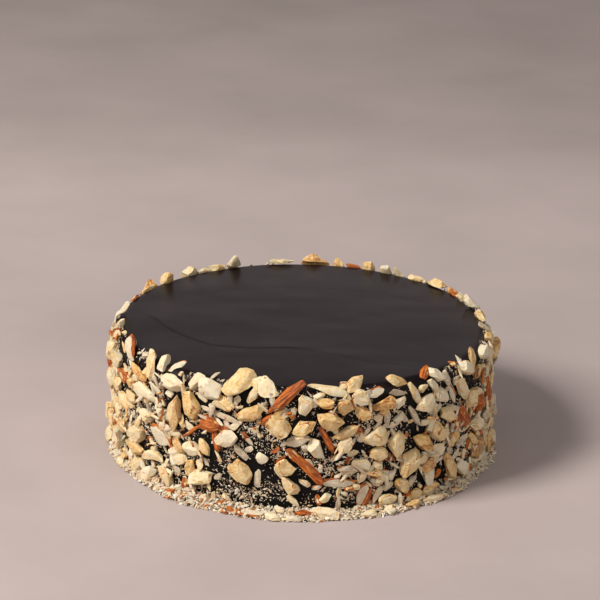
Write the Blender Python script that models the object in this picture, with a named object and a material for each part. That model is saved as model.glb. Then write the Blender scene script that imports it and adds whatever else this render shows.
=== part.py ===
"""A round chocolate-glazed cake, uncut, with chopped cashews and almonds pressed into its side.

The cake stands on z = 0 with its middle on the Z axis and its shown side towards -Y. Its glazed body
is turned, with a bank of nut meal round the foot. The coat of nuts is laid out on the unrolled side,
by angle and by the way up the side and on over the rim. A nut larger than a berry is an object of its
own. The smaller ones are fused to the cake.
"""

import math

import bpy
import numpy as np

MM = 0.001

# The glazed body, in metres.
GLAZE_RADIUS = 0.093
CAKE_HEIGHT = 0.063
RIM_ROUNDING = 0.005
STRAIGHT_TOP = CAKE_HEIGHT - RIM_ROUNDING
ROUND_SIDES = 60
RIM_STEPS = 3

# The bank of nut meal round the foot, by the angle from the front in degrees: its reach past the glaze
# and its height, in millimetres. BANK_SECTION is its slope, as shares of the reach and of the height.
# BANK_UNEVEN is how far waves of these counts swell and thin it.
BANK = (
    (-180, 7.0, 3.4),
    (-150, 5.5, 3.0),
    (-120, 7.0, 3.4),
    (-95, 4.5, 2.6),
    (-56, 4.0, 2.2),
    (-46, 6.5, 3.2),
    (-36, 9.0, 3.8),
    (-27, 9.5, 3.4),
    (-18, 9.5, 2.4),
    (-8, 9.8, 2.0),
    (6, 10.8, 1.9),
    (20, 9.0, 1.9),
    (32, 8.5, 2.2),
    (42, 7.0, 2.4),
    (52, 7.5, 2.6),
    (62, 5.5, 2.4),
    (92, 5.0, 2.6),
    (130, 7.5, 3.4),
    (155, 6.0, 3.0),
)
BANK_SECTION = ((1.0, 0.0), (0.92, 0.30), (0.50, 0.62), (0.10, 1.0), (0.0, 1.15))
BANK_UNEVEN = 0.06
BANK_WAVES = (8, 13, 19)
BANK_CLEARANCE = 1.4

# The coat of nuts.
SEED = 4711
BERRY_SIZE = 0.013
LARGEST_DRAWN = 0.018
SMALLEST_FUSED = 0.0086
SHOWN_DRIFT = 0.15
HIDDEN_NODES = 22
FUSED_NUTS = 112
DISC_SHARE = 0.47
SIDE_TOP = 0.0625
SIDE_FOOT = 0.0035
SINK = 0.0011
NODE_GAP = 0.00035
RIM_GAP = 0.0024
NODE_CLEARANCE = 0.0010
FUSED_OVERLAP = 0.0014
LOWEST_POINT = 0.0006
NODE_GRID = (5, 6)
FUSED_GRID = (2, 5)

# For each kind: thickness as a share of width, width as a share of length, powers of the outline and
# of the thickness (2 is round, higher is squarer), how deep its breaks go, bend, and share of the coat.
KINDS = {
    "cashew": dict(thick=0.74, slim=0.74, powers=(2.3, 2.3), depth=1.0, bend=0.16, share=0.62),
    "almond": dict(thick=0.62, slim=0.68, powers=(2.2, 2.4), depth=0.9, bend=0.06, share=0.13),
    "sliver": dict(thick=0.80, slim=0.36, powers=(4.0, 3.4), depth=0.5, bend=0.08, share=0.13),
    "slice": dict(thick=0.28, slim=0.60, powers=(2.2, 5.0), depth=0.8, bend=0.06, share=0.12),
}

# What chopping leaves of a nut: flat breaks round its sides and over its top, the deepest of them as a
# share of the half size, how strongly it curls (0 is as its kind does), and its share of the strewn nuts.
FORMS = {
    "whole": dict(sides=0, tops=0, depth=0.0, curl=0.0, share=0.10),
    "half": dict(sides=1, tops=1, depth=0.50, curl=0.0, share=0.20),
    "wedge": dict(sides=3, tops=1, depth=0.52, curl=0.0, share=0.25),
    "block": dict(sides=4, tops=1, depth=0.42, curl=0.0, share=0.27),
    "chunk": dict(sides=5, tops=2, depth=0.38, curl=0.0, share=0.18),
    "curl": dict(sides=0, tops=1, depth=0.30, curl=0.80, share=0.0),
}

# The nuts that stand out, from the left to the right of the shown side and then over the far rim: kind,
# form, angle from the front in degrees, way up the side, length and width in millimetres, and turn in
# degrees from level.
SHOWN_NUTS = (
    ("cashew", "chunk", -83, 63, 9, 5.5, 70),
    ("cashew", "whole", -84, 24, 11, 5, 90),
    ("almond", "wedge", -79, 60.5, 11, 5.5, 38),
    ("cashew", "wedge", -77, 11, 12, 5.5, 25),
    ("cashew", "half", -75, 24.5, 12, 5, -30),
    ("almond", "block", -73.5, 51, 11.5, 8, 20),
    ("cashew", "block", -73, 38, 13, 6.5, 5),
    ("cashew", "block", -68.5, 19.5, 13.5, 6.5, 15),
    ("slice", "half", -63.5, 29, 11, 4, 0),
    ("almond", "half", -63, 62, 16, 7, -28),
    ("cashew", "block", -61, 38.5, 10, 5.5, -14),
    ("cashew", "whole", -59, 14, 15, 6, 0),
    ("cashew", "half", -58, 5.5, 12.5, 6.5, 36),
    ("cashew", "chunk", -57, 55.5, 14, 6, -11),
    ("cashew", "chunk", -53, 48, 17, 6.5, -12),
    ("cashew", "block", -51.5, 33.5, 10, 6, -10),
    ("cashew", "block", -51.5, 5, 12.5, 7, 34),
    ("cashew", "whole", -51, 60, 14, 6, -85),
    ("cashew", "curl", -48.5, 14, 16, 6.5, 190),
    ("cashew", "wedge", -46, 63.5, 8.6, 6, -75),
    ("slice", "half", -45.5, 28, 15, 8.5, -18),
    ("cashew", "curl", -43, 7.5, 12, 7, 125),
    ("slice", "half", -42, 65.5, 9, 4, 60),
    ("cashew", "chunk", -42, 57.5, 15, 7, 0),
    ("cashew", "wedge", -39.5, 44.5, 19.5, 8, 80),
    ("cashew", "wedge", -38.5, 26, 9.5, 6.5, -35),
    ("cashew", "whole", -37.5, 18.5, 8.6, 6, 20),
    ("cashew", "half", -34, 15.5, 9.5, 4.5, 70),
    ("cashew", "block", -33, 26.5, 9, 7.5, -5),
    ("cashew", "chunk", -33, 49.5, 13, 9, -68),
    ("cashew", "wedge", -32.5, 60, 11, 5, 45),
    ("cashew", "block", -30, 12.5, 12.5, 7.5, 20),
    ("cashew", "whole", -29, 28, 10, 4.5, -56),
    ("cashew", "block", -27, 58.5, 12.5, 9, -20),
    ("almond", "half", -27, 41.5, 12.5, 7.5, 5),
    ("almond", "half", -25, 33, 10, 4, -78),
    ("sliver", "block", -23.5, 47, 20, 2.8, -14),
    ("cashew", "block", -23, 53, 11, 6.5, -9),
    ("cashew", "block", -21.5, 35.5, 12, 8, 22),
    ("cashew", "whole", -18.5, 63.5, 17, 10, 45),
    ("cashew", "wedge", -17, 20, 13.5, 9, -53),
    ("cashew", "wedge", -15.5, 50, 13, 6.5, 35),
    ("cashew", "half", -13.5, 58, 8.6, 4, 63),
    ("slice", "half", -12.5, 17.5, 9.5, 3.2, 88),
    ("cashew", "block", -11, 62.5, 12.5, 8, -45),
    ("cashew", "block", -4.5, 45, 13, 9.5, -50),
    ("sliver", "block", -4, 58.5, 22.5, 5.2, 45),
    ("cashew", "block", -3.5, 25.5, 10, 8, -37),
    ("cashew", "wedge", -2.5, 14, 12, 6.5, -40),
    ("cashew", "wedge", 0, 36.5, 12, 5.5, 15),
    ("cashew", "chunk", 1, 45.5, 11.5, 7.5, 30),
    ("cashew", "block", 1, 56, 9.5, 8.2, 90),
    ("sliver", "half", 1.5, 24.5, 22, 4.2, -45),
    ("cashew", "wedge", 5, 35.5, 12, 7.5, -68),
    ("slice", "half", 6.5, 61.5, 18, 4, -13),
    ("cashew", "half", 7.5, 57.5, 8.6, 5.5, -10),
    ("sliver", "half", 7.5, 37.5, 13.5, 3, -61),
    ("cashew", "chunk", 8, 49.5, 13.5, 9, -24),
    ("slice", "half", 11.5, 17, 16, 4.6, -6),
    ("cashew", "block", 12.5, 55, 9, 7.2, -27),
    ("cashew", "chunk", 12.5, 35.5, 8.6, 6.5, 54),
    ("cashew", "half", 12.5, 43.5, 12.5, 5.5, 28),
    ("slice", "half", 14, 21, 10, 3.6, -19),
    ("cashew", "block", 16, 65, 10.5, 6.5, 40),
    ("cashew", "block", 17, 58.5, 8.6, 7, -24),
    ("cashew", "half", 18, 24.5, 10, 5.5, -26),
    ("cashew", "block", 18, 50.5, 8.6, 5.5, -23),
    ("slice", "half", 18.5, 8.5, 12, 5, 75),
    ("sliver", "half", 20.5, 7.5, 10, 2.8, 72),
    ("slice", "half", 22, 60, 8.6, 4.6, 20),
    ("slice", "half", 23.5, 8, 10, 4, 56),
    ("cashew", "block", 24.5, 54, 11, 7, 13),
    ("cashew", "block", 26.5, 5, 10, 6.8, 2),
    ("slice", "wedge", 29, 58.5, 10, 3.4, -18),
    ("cashew", "block", 29, 33, 13.5, 9, -78),
    ("cashew", "half", 29.5, 63.5, 12, 5.5, -14),
    ("cashew", "block", 31.5, 10, 10.5, 6.3, -50),
    ("cashew", "block", 34.5, 23, 14.5, 10, 57),
    ("sliver", "half", 35, 56, 12.5, 3.5, -63),
    ("sliver", "half", 35, 45, 12.5, 2.6, -58),
    ("cashew", "wedge", 36.5, 4, 9.5, 5, 4),
    ("cashew", "block", 38, 29, 13, 8, -39),
    ("cashew", "chunk", 39, 50.5, 11.5, 8, 36),
    ("cashew", "block", 41, 11.5, 9.5, 7, 71),
    ("almond", "half", 41.5, 37, 9, 5.5, 66),
    ("cashew", "wedge", 41.5, 4.5, 11, 6, 34),
    ("almond", "half", 41.5, 65, 8.6, 4.5, 38),
    ("cashew", "block", 42, 57.5, 9, 4.8, -54),
    ("cashew", "block", 43.5, 63, 9.5, 5, -50),
    ("cashew", "block", 44.5, 33, 11, 7.5, -36),
    ("cashew", "chunk", 48, 40.5, 12, 7.2, -33),
    ("sliver", "block", 50.5, 12, 18, 6, -60),
    ("slice", "half", 51, 50.5, 12.5, 4.2, -65),
    ("cashew", "block", 52, 26.5, 9.5, 6, 44),
    ("cashew", "half", 56, 50.5, 15, 6.5, -54),
    ("almond", "chunk", 56.5, 35.5, 13, 7, -50),
    ("cashew", "block", 57.5, 58.5, 10, 7, -33),
    ("slice", "half", 57.5, 21.5, 8.6, 4.2, 42),
    ("cashew", "whole", 63.5, 19, 11.5, 5, -40),
    ("cashew", "half", 66, 53, 9, 4.2, 36),
    ("cashew", "block", 71.5, 60, 11.5, 7.5, -9),
    ("cashew", "whole", 73, 5, 9, 6.5, 60),
    ("cashew", "block", 74, 49.5, 10.5, 5, 17),
    ("cashew", "whole", 75, 25, 12, 6.5, -30),
    ("cashew", "half", 76, 11, 12, 5.5, 70),
    ("almond", "whole", 79, 36, 12, 6.5, 50),
    ("cashew", "whole", 82, 22, 9, 6, -50),
    ("almond", "half", 82, 14, 8.6, 5, -28),
    ("cashew", "whole", 82, 51, 9, 4.5, 70),
    ("cashew", "whole", 82, 60.5, 9.5, 5.5, -45),
    ("cashew", "half", 84.5, 38, 14, 4, 80),
    ("cashew", "chunk", 89, 63.5, 10, 3.5, -60),
    ("cashew", "block", 98.5, 64, 9.5, 6, 0),
    ("cashew", "half", 108.5, 64, 14, 6, 80),
    ("cashew", "block", 115.5, 64, 10, 5, 75),
    ("almond", "half", 121, 63, 8.6, 4, 10),
    ("cashew", "whole", 130.5, 64, 13, 6.5, -10),
    ("cashew", "block", 139.5, 64, 9, 5, 20),
    ("cashew", "wedge", 146.5, 64, 8.6, 5, 60),
    ("cashew", "block", 151, 64.5, 10, 5.5, 80),
    ("almond", "half", 163, 63.5, 8.6, 3.5, 5),
    ("cashew", "half", 188, 65, 13.5, 5.5, 0),
    ("cashew", "wedge", 204, 64, 15.5, 7, 80),
    ("cashew", "chunk", 210.5, 64, 9, 6, 10),
    ("cashew", "block", 215.5, 63, 8.6, 4, 0),
    ("cashew", "chunk", 231, 64.5, 12.5, 8, 70),
    ("cashew", "half", 241, 63, 12, 4, 0),
    ("almond", "half", 250.5, 63, 8.6, 3.5, 0),
    ("sliver", "half", 266.5, 63, 15.5, 4.2, 85),
)


def closed_mesh(name, first_tip, rows, last_tip):
    """A mesh of rows of points, closed by a tip before the first row and one after the last."""
    row_count, side_count = rows.shape[:2]
    tips = np.array([first_tip, last_tip], float)
    points = np.vstack([tips, rows.reshape(-1, 3)])
    index = 2 + np.arange(row_count * side_count).reshape(row_count, side_count)
    after = np.roll(index, -1, axis=1)
    triangles = [
        np.stack([0 * index[0], after[0], index[0]], axis=-1),
        np.stack([index[:-1], after[:-1], after[1:]], axis=-1),
        np.stack([index[:-1], after[1:], index[1:]], axis=-1),
        np.stack([0 * index[0] + 1, index[-1], after[-1]], axis=-1),
    ]
    faces = np.vstack([corners.reshape(-1, 3) for corners in triangles])
    mesh = bpy.data.meshes.new(name)
    mesh.from_pydata(points.tolist(), [], faces.tolist())
    return mesh


def material(name, colour, roughness):
    """A Principled material of one colour."""
    made = bpy.data.materials.new(name)
    made.use_nodes = True
    shader = made.node_tree.nodes["Principled BSDF"]
    shader.inputs["Base Color"].default_value = (*colour, 1)
    shader.inputs["Roughness"].default_value = roughness
    return made


def bank_size(angles):
    """Reach and height of the bank at each angle: the table, times a sum of sines for the unevenness."""
    draw = np.random.default_rng([SEED, 5])
    knots, reach, height = np.array(BANK, float).T
    swell = np.ones_like(angles)
    for count in BANK_WAVES:
        swell += BANK_UNEVEN * draw.uniform(0.5, 1.0) * np.sin(count * angles + draw.uniform(0, 2 * math.pi))
    degrees = np.degrees(angles)
    return [MM * swell * np.interp(degrees, knots, sizes, period=360) for sizes in (reach, height)]


def body_profile(angles):
    """(radius, height) rows from the foot of the meal bank up the side, over the rim and in on the top."""
    reach, height = bank_size(angles)
    level = 0 * angles
    bank = [(GLAZE_RADIUS + across * reach, rise * height) for across, rise in BANK_SECTION]
    rounding = [
        (
            GLAZE_RADIUS - RIM_ROUNDING * (1 - math.cos(turn)) + level,
            STRAIGHT_TOP + RIM_ROUNDING * math.sin(turn) + level,
        )
        for turn in np.linspace(0, math.pi / 2, RIM_STEPS + 1)
    ]
    top = [(GLAZE_RADIUS / 2 + level, CAKE_HEIGHT + level)]
    return bank + rounding + top


def glazed_body():
    """The turned body, with the meal banked round its foot."""
    angles = np.linspace(0, 2 * math.pi, ROUND_SIDES, endpoint=False)
    rows = [
        np.stack([radius * np.sin(angles), -radius * np.cos(angles), height], axis=-1)
        for radius, height in body_profile(angles)
    ]
    mesh = closed_mesh("cake", (0, 0, 0), np.stack(rows), (0, 0, CAKE_HEIGHT))
    body = bpy.data.objects.new("cake", mesh)
    bpy.context.scene.collection.objects.link(body)
    return body


def discs_under(nut):
    """Middles, from the nut's own middle, of a row of discs one width across that covers its outline."""
    reach = (nut["length"] - nut["width"]) / 2
    count = 1 + 2 * math.ceil(reach / (nut["width"] / 2))
    along = np.linspace(-reach, reach, count)
    return np.stack([along * math.cos(nut["turn"]), along * math.sin(nut["turn"])], axis=1)


def apart(here, there):
    """Differences (here, there, 2) between points on the unrolled side, the short way round the cake."""
    across = here[:, None, :] - there[None, :, :]
    around = 2 * math.pi * GLAZE_RADIUS
    across[..., 0] -= around * np.round(across[..., 0] / around)
    return across


def unrolled(nuts):
    """Middles of the nuts on the unrolled side, in metres round and up it."""
    return np.array([[nut["angle"] * GLAZE_RADIUS, nut["way_up"]] for nut in nuts])


def bareness(angle, way_up):
    """Share of the glaze left bare: most on the lower middle of the shown side."""
    patch = ((angle + 0.14) / 0.30) ** 2 + ((way_up - 0.018) / 0.024) ** 2
    return 0.75 * math.exp(-(patch**2))


def drawn_name(draw, table):
    """One name of a table, drawn by the shares in it."""
    return str(draw.choice(list(table), p=[entry["share"] for entry in table.values()]))


def strew(nuts, count, longest, shortest, angles, as_node, seed):
    """Adds drawn nuts, the longest first, each at the roomiest of a dozen drawn places."""
    draw = np.random.default_rng([SEED, seed])
    for length in np.linspace(longest, shortest, count):
        kind = drawn_name(draw, KINDS)
        form = drawn_name(draw, FORMS)
        places = np.stack([draw.uniform(*angles, 12), draw.uniform(SIDE_FOOT, SIDE_TOP, 12)], axis=1)
        taken = np.hypot(*np.moveaxis(apart(places * (GLAZE_RADIUS, 1), unrolled(nuts)), -1, 0))
        sizes = np.array([nut["length"] + nut["width"] for nut in nuts]) / 4
        room = (taken - sizes).min(axis=1)
        room -= length * np.array([bareness(*place) for place in places])
        angle, way_up = places[room.argmax()]
        width = length * KINDS[kind]["slim"] * draw.uniform(0.88, 1.12)
        turn = draw.uniform(-math.pi / 2, math.pi / 2)
        nuts.append(new_nut(kind, form, angle, way_up, length, width, turn, as_node, 1.0, len(nuts)))


def new_nut(kind, form, angle, way_up, length, width, turn, as_node, drift, seed):
    """One nut of the coat. Drift is how freely it gives way to its neighbours."""
    return {
        "kind": kind,
        "form": form,
        "angle": angle,
        "way_up": way_up,
        "length": length,
        "width": width,
        "turn": turn,
        "as_node": as_node,
        "drift": drift,
        "seed": seed,
    }


def settle(nuts, rounds):
    """Moves nuts apart that crowd each other on the unrolled side, by part of the overlap in each round."""
    rows = [discs_under(nut) for nut in nuts]
    owner = np.repeat(np.arange(len(nuts)), [len(row) for row in rows])
    offsets = np.vstack(rows)
    radius = DISC_SHARE * np.array([nut["width"] for nut in nuts])[owner]
    as_node = np.array([nut["as_node"] for nut in nuts])[owner]
    drift = np.array([nut["drift"] for nut in nuts])
    share = drift[owner][:, None] / (drift[owner][:, None] + drift[owner][None, :])
    wanted = radius[:, None] + radius[None, :]
    wanted += np.where(as_node[:, None] | as_node[None, :], NODE_CLEARANCE, -FUSED_OVERLAP)
    wanted[owner[:, None] == owner[None, :]] = 0
    half_rise = np.array([abs(row[:, 1]).max() + nut["width"] / 2 for row, nut in zip(rows, nuts)])
    middles = unrolled(nuts)
    _, bank_height = bank_size(middles[:, 0] / GLAZE_RADIUS)
    lowest = np.where([nut["as_node"] for nut in nuts], BANK_CLEARANCE * bank_height + half_rise, SIDE_FOOT)
    highest = np.maximum(middles[:, 1], SIDE_TOP)
    for _ in range(rounds):
        across = apart(middles[owner] + offsets, middles[owner] + offsets)
        distance = np.hypot(across[..., 0], across[..., 1]) + 1e-9
        overlap = np.maximum(wanted - distance, 0) * share / distance
        push = 0.5 * (across * overlap[..., None]).sum(axis=1)
        moves = np.stack([np.bincount(owner, push[:, axis], len(nuts)) for axis in (0, 1)], axis=1)
        middles += np.clip(moves, -0.001, 0.001)
        middles[:, 1] = np.clip(middles[:, 1], lowest, highest)
    for nut, (round_it, way_up) in zip(nuts, middles):
        nut["angle"] = round_it / GLAZE_RADIUS
        nut["way_up"] = way_up


def clear_of_nodes(nuts):
    """The nuts without those fused ones that still crowd a nut of its own object."""
    kept = [nut for nut in nuts if nut["as_node"]]
    nodes = np.vstack([discs_under(nut) + unrolled([nut]) for nut in kept])
    radii = np.concatenate([np.full(len(discs_under(nut)), DISC_SHARE * nut["width"]) for nut in kept])
    for nut in nuts:
        if nut["as_node"]:
            continue
        across = apart(discs_under(nut) + unrolled([nut]), nodes)
        gap = (np.hypot(across[..., 0], across[..., 1]) - radii).min() - DISC_SHARE * nut["width"]
        if gap > 0.6 * NODE_CLEARANCE:
            kept.append(nut)
    return kept


def whole_coat():
    """The nuts that stand out, then large ones out of sight, then the small ones all round."""
    nuts = []
    for kind, form, angle, way_up, length, width, turn in SHOWN_NUTS:
        sizes = (way_up * MM, length * MM, width * MM, math.radians(turn))
        as_node = length * MM >= BERRY_SIZE
        nuts.append(new_nut(kind, form, math.radians(angle), *sizes, as_node, SHOWN_DRIFT, len(nuts)))
    hidden = (math.radians(80), math.radians(282))
    strew(nuts, HIDDEN_NODES, LARGEST_DRAWN, BERRY_SIZE, hidden, True, 1)
    settle(nuts, 60)
    strew(nuts, FUSED_NUTS, BERRY_SIZE, SMALLEST_FUSED, (-math.pi, math.pi), False, 2)
    settle(nuts, 60)
    return clear_of_nodes(nuts)


def broken_faces(draw, side_count, top_count, depth):
    """The flat breaks of a piece as rows f: the piece ends where f . x = 1, in a box of half size 1."""
    full = 2 * math.pi
    even = (np.arange(side_count) + draw.uniform(-0.25, 0.25, side_count)) * full / max(side_count, 1)
    round_it = np.append(even + draw.uniform(0, full), draw.uniform(0, full, top_count))
    rise = np.append(draw.uniform(-0.45, 0.55, side_count), full / 4 - draw.uniform(0.15, 0.65, top_count))
    level = np.cos(rise)
    facing = np.stack([level * np.cos(round_it), level * np.sin(round_it), np.sin(rise)], axis=-1)
    return facing / (1 - depth * draw.uniform(0.45, 1.0, len(facing)))[:, None]


def nut_surface(nut, ring_count, side_count):
    """Rows of points round a nut from tip to tip, in its own frame: length on X, width on Y, thickness on Z.

    The radius along a direction d is 1 / (sum of g(d) to the power 20)^(1/20), where g runs over a
    rounded box and the flat breaks, so it is the smooth minimum of those shapes. Then the piece is
    tapered and bent, and sized to its length, width and thickness.
    """
    look = KINDS[nut["kind"]]
    form = FORMS[nut["form"]]
    draw = np.random.default_rng([SEED, 77, nut["seed"]])
    faces = broken_faces(draw, form["sides"], form["tops"], form["depth"] * look["depth"])
    from_tip = np.linspace(0, math.pi, ring_count + 2)[:, None]
    round_it = np.linspace(0, 2 * math.pi, side_count, endpoint=False)[None, :] + 0.4
    ring = np.sin(from_tip)
    direction = np.stack(
        [-np.cos(from_tip) + 0 * round_it, ring * np.cos(round_it), ring * np.sin(round_it)], axis=-1
    )
    outline, thickness = look["powers"]
    flat = (np.abs(direction[..., :2]) ** outline).sum(axis=-1) ** (thickness / outline)
    gauge = (flat + np.abs(direction[..., 2]) ** thickness) ** (20 / thickness)
    gauge += (np.maximum(direction @ faces.T, 0) ** 20).sum(axis=-1)
    shape = direction * gauge[..., None] ** (-1 / 20)
    bend = form["curl"] or look["bend"] * draw.choice((-1, 1)) * draw.uniform(0.5, 1.2)
    shape[..., 1:] *= 1 + 0.22 * draw.uniform(-1, 1) * shape[..., :1]
    shape[..., 1] += bend * (shape[..., 0] ** 2 - 0.4)
    shape /= np.abs(shape).max(axis=(0, 1))
    half_sizes = np.array([nut["length"], nut["width"], nut["width"] * look["thick"]]) / 2
    return shape * half_sizes


def place_on_side(nut, points):
    """Moves points from the nut's frame to its place: pressed in by SINK, and leaning a little."""
    draw = np.random.default_rng([SEED, 78, nut["seed"]])
    rim_turn = min(max((nut["way_up"] - STRAIGHT_TOP) / RIM_ROUNDING, 0), math.pi / 2)
    radius = GLAZE_RADIUS - RIM_ROUNDING * (1 - math.cos(rim_turn))
    height = min(nut["way_up"], STRAIGHT_TOP) + RIM_ROUNDING * math.sin(rim_turn)
    sine, cosine = math.sin(nut["angle"]), math.cos(nut["angle"])
    foot = np.array([radius * sine, -radius * cosine, height])
    out, up = math.cos(0.55 * rim_turn), math.sin(0.55 * rim_turn)
    normal = np.array([out * sine, -out * cosine, up])
    around = np.array([cosine, sine, 0])
    upward = np.cross(normal, around)
    lean = draw.uniform(-1, 1, 2) * (0.07 if nut["as_node"] else 0.20)
    long_way = math.cos(nut["turn"]) * around + math.sin(nut["turn"]) * upward + lean[0] * normal
    long_way /= np.linalg.norm(long_way)
    wide_way = np.cross(normal, long_way) + lean[1] * normal
    wide_way -= (wide_way @ long_way) * long_way
    wide_way /= np.linalg.norm(wide_way)
    thick_way = np.cross(long_way, wide_way)
    half_thick = nut["width"] * KINDS[nut["kind"]]["thick"] / 2
    middle = foot + (half_thick - min(SINK, 0.5 * half_thick)) * normal
    return middle + points @ np.stack([long_way, wide_way, thick_way])


def press_back(points):
    """Flattens a loose nut's back to the glaze: a depth below the gap fades towards it, never past it."""
    radius = np.hypot(points[..., 0], points[..., 1])
    past = np.stack([radius - GLAZE_RADIUS + RIM_ROUNDING, points[..., 2] - STRAIGHT_TOP], axis=-1)
    outside = np.maximum(past, 0)
    far = np.linalg.norm(outside, axis=-1)
    gap = NODE_GAP + RIM_GAP * outside.min(axis=-1) / RIM_ROUNDING
    depth = far + np.minimum(past.max(axis=-1), 0) - RIM_ROUNDING - gap
    fade = 0.0009
    pressed = np.where(depth < fade, fade * np.exp(np.minimum(depth - fade, 0) / fade), depth)
    way_out = outside / np.maximum(far, 1e-9)[..., None] * (pressed - depth)[..., None]
    points = points.copy()
    points[..., :2] *= (1 + way_out[..., 0] / radius)[..., None]
    points[..., 2] += way_out[..., 1]
    return points


def nut_object(name, nut, grid):
    """One nut in its place on the side."""
    points = place_on_side(nut, nut_surface(nut, *grid))
    points[..., 2] = np.maximum(points[..., 2], LOWEST_POINT)
    if nut["as_node"]:
        points = press_back(points)
    return bpy.data.objects.new(name, closed_mesh(name, points[0, 0], points[1:-1], points[-1, 0]))


def outer_shell(mesh):
    """Keeps the largest connected surface, which fills any sealed hollow and drops any loose scrap."""
    ends = np.empty(2 * len(mesh.edges), int)
    mesh.edges.foreach_get("vertices", ends)
    ends = ends.reshape(-1, 2)
    shell = np.arange(len(mesh.vertices))
    while True:
        lowest = shell.copy()
        np.minimum.at(lowest, ends[:, 0], shell[ends[:, 1]])
        np.minimum.at(lowest, ends[:, 1], shell[ends[:, 0]])
        lowest = lowest[lowest]
        if (lowest == shell).all():
            break
        shell = lowest
    keep = shell == np.bincount(shell).argmax()
    new_index = np.cumsum(keep) - 1
    points = np.empty(3 * len(mesh.vertices))
    mesh.vertices.foreach_get("co", points)
    kept_faces = [face for face in mesh.polygons if keep[face.vertices[0]]]
    made = bpy.data.meshes.new(mesh.name)
    made.from_pydata(
        points.reshape(-1, 3)[keep].tolist(),
        [],
        [[int(new_index[corner]) for corner in face.vertices] for face in kept_faces],
    )
    for slot in mesh.materials:
        made.materials.append(slot)
    made.polygons.foreach_set("material_index", [face.material_index for face in kept_faces])
    return made


def fuse(body, pieces):
    """Joins the pieces to the body by one Boolean union, and removes them."""
    loose = bpy.data.collections.new("nuts_to_fuse")
    bpy.context.scene.collection.children.link(loose)
    for piece in pieces:
        loose.objects.link(piece)
    union = body.modifiers.new("fused_nuts", "BOOLEAN")
    union.operation = "UNION"
    union.operand_type = "COLLECTION"
    union.collection = loose
    union.solver = "MANIFOLD"
    evaluated = body.evaluated_get(bpy.context.evaluated_depsgraph_get())
    joined = bpy.data.meshes.new_from_object(evaluated)
    body.modifiers.remove(union)
    for piece in pieces:
        bpy.data.objects.remove(piece)
    bpy.data.collections.remove(loose)
    body.data = outer_shell(joined)


for old in list(bpy.data.objects):
    bpy.data.objects.remove(old)

glaze = material("dark_glaze", (0.012, 0.009, 0.008), 0.45)
kernel = material("cream_kernel", (0.72, 0.56, 0.34), 0.55)
skin = material("almond_skin", (0.36, 0.13, 0.045), 0.6)

cake = glazed_body()
cake.data.materials.append(glaze)
small_nuts = []
numbers = dict.fromkeys(KINDS, 0)
for nut in whole_coat():
    if nut["as_node"]:
        numbers[nut["kind"]] += 1
        piece = nut_object(f"{nut['kind']}_{numbers[nut['kind']]:02d}", nut, NODE_GRID)
        bpy.context.scene.collection.objects.link(piece)
    else:
        piece = nut_object("small_nut", nut, FUSED_GRID)
        small_nuts.append(piece)
    piece.data.materials.append(skin if nut["kind"] == "almond" else kernel)
fuse(cake, small_nuts)
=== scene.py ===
"""A round praline cake as it looks: dark chocolate glaze, and a side coated in chopped nuts.

Sections follow the way the cake is made: the glazed body, the coat of nuts pressed into its side, the
bank of meal that gathers at its foot, then the small bits and the fine meal on both, and last the floor,
light and camera. Lengths are in metres unless a name or the comment above it says millimetres.
"""

import math

import bpy
import numpy as np
from mathutils import Matrix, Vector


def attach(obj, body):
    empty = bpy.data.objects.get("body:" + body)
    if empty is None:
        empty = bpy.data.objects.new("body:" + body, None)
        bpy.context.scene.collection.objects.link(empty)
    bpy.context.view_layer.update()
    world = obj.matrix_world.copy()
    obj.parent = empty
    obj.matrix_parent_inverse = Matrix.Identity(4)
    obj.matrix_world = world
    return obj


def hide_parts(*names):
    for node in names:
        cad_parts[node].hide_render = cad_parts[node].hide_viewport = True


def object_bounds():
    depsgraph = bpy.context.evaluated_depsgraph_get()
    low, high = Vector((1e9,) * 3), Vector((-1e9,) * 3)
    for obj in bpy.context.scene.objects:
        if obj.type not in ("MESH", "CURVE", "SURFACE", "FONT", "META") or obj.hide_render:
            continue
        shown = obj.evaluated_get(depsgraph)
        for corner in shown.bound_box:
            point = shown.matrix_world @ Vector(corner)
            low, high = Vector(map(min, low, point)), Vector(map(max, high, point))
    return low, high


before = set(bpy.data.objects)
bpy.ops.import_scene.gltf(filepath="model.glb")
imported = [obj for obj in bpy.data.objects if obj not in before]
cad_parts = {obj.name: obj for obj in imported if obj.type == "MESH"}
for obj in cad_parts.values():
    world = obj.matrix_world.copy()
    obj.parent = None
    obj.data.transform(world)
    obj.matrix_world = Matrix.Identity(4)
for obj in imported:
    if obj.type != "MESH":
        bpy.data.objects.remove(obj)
cad_box = [list(map(float, corner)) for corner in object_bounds()]


# ---------------------------------------------------------------- the glazed body
# Sponge and cream under a poured chocolate glaze, turned on a stand and smoothed with a palette knife.
# The top is flat and satin with faint knife marks. The side, mostly hidden by nuts, has painted shade.

MM = 0.001
GLAZE_RADIUS = 0.093
CAKE_HEIGHT = 0.063
RIM_ROUNDING = 0.005
STRAIGHT_TOP = CAKE_HEIGHT - RIM_ROUNDING
GLAZE_INSET = 0.0002
CREASE_ANGLE = math.radians(17)

# Points round the glaze, its rows up the side, round the rim and in over the top, and how close to the
# middle the last row comes, as a share of the top's radius.
AROUND = 420
SIDE_ROWS = 48
RIM_ROWS = 12
TOP_ROWS = 79
INNERMOST = 0.01

# Edges that the knife left on the top: points on each, its depth and its width, all in millimetres. The
# step at an edge dies out over STEP_FADE. The groove on it is a share of that depth and of that width.
KNIFE_MARKS = (
    ([(-75, 0), (-68, -12.5), (-58, -24.5), (-45, -36), (-25, -39.5), (-6, -38)], 0.15, 1.8),
    ([(-6, -38), (13, -44.5), (33, -54), (52, -58)], 0.07, 2.4),
    ([(-40, 44), (-5, 52), (38, 47), (66, 30)], 0.05, 3.5),
)
STEP_FADE = 0.011
GROOVE_DEPTH = 0.6
GROOVE_WIDTH = 0.4

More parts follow.
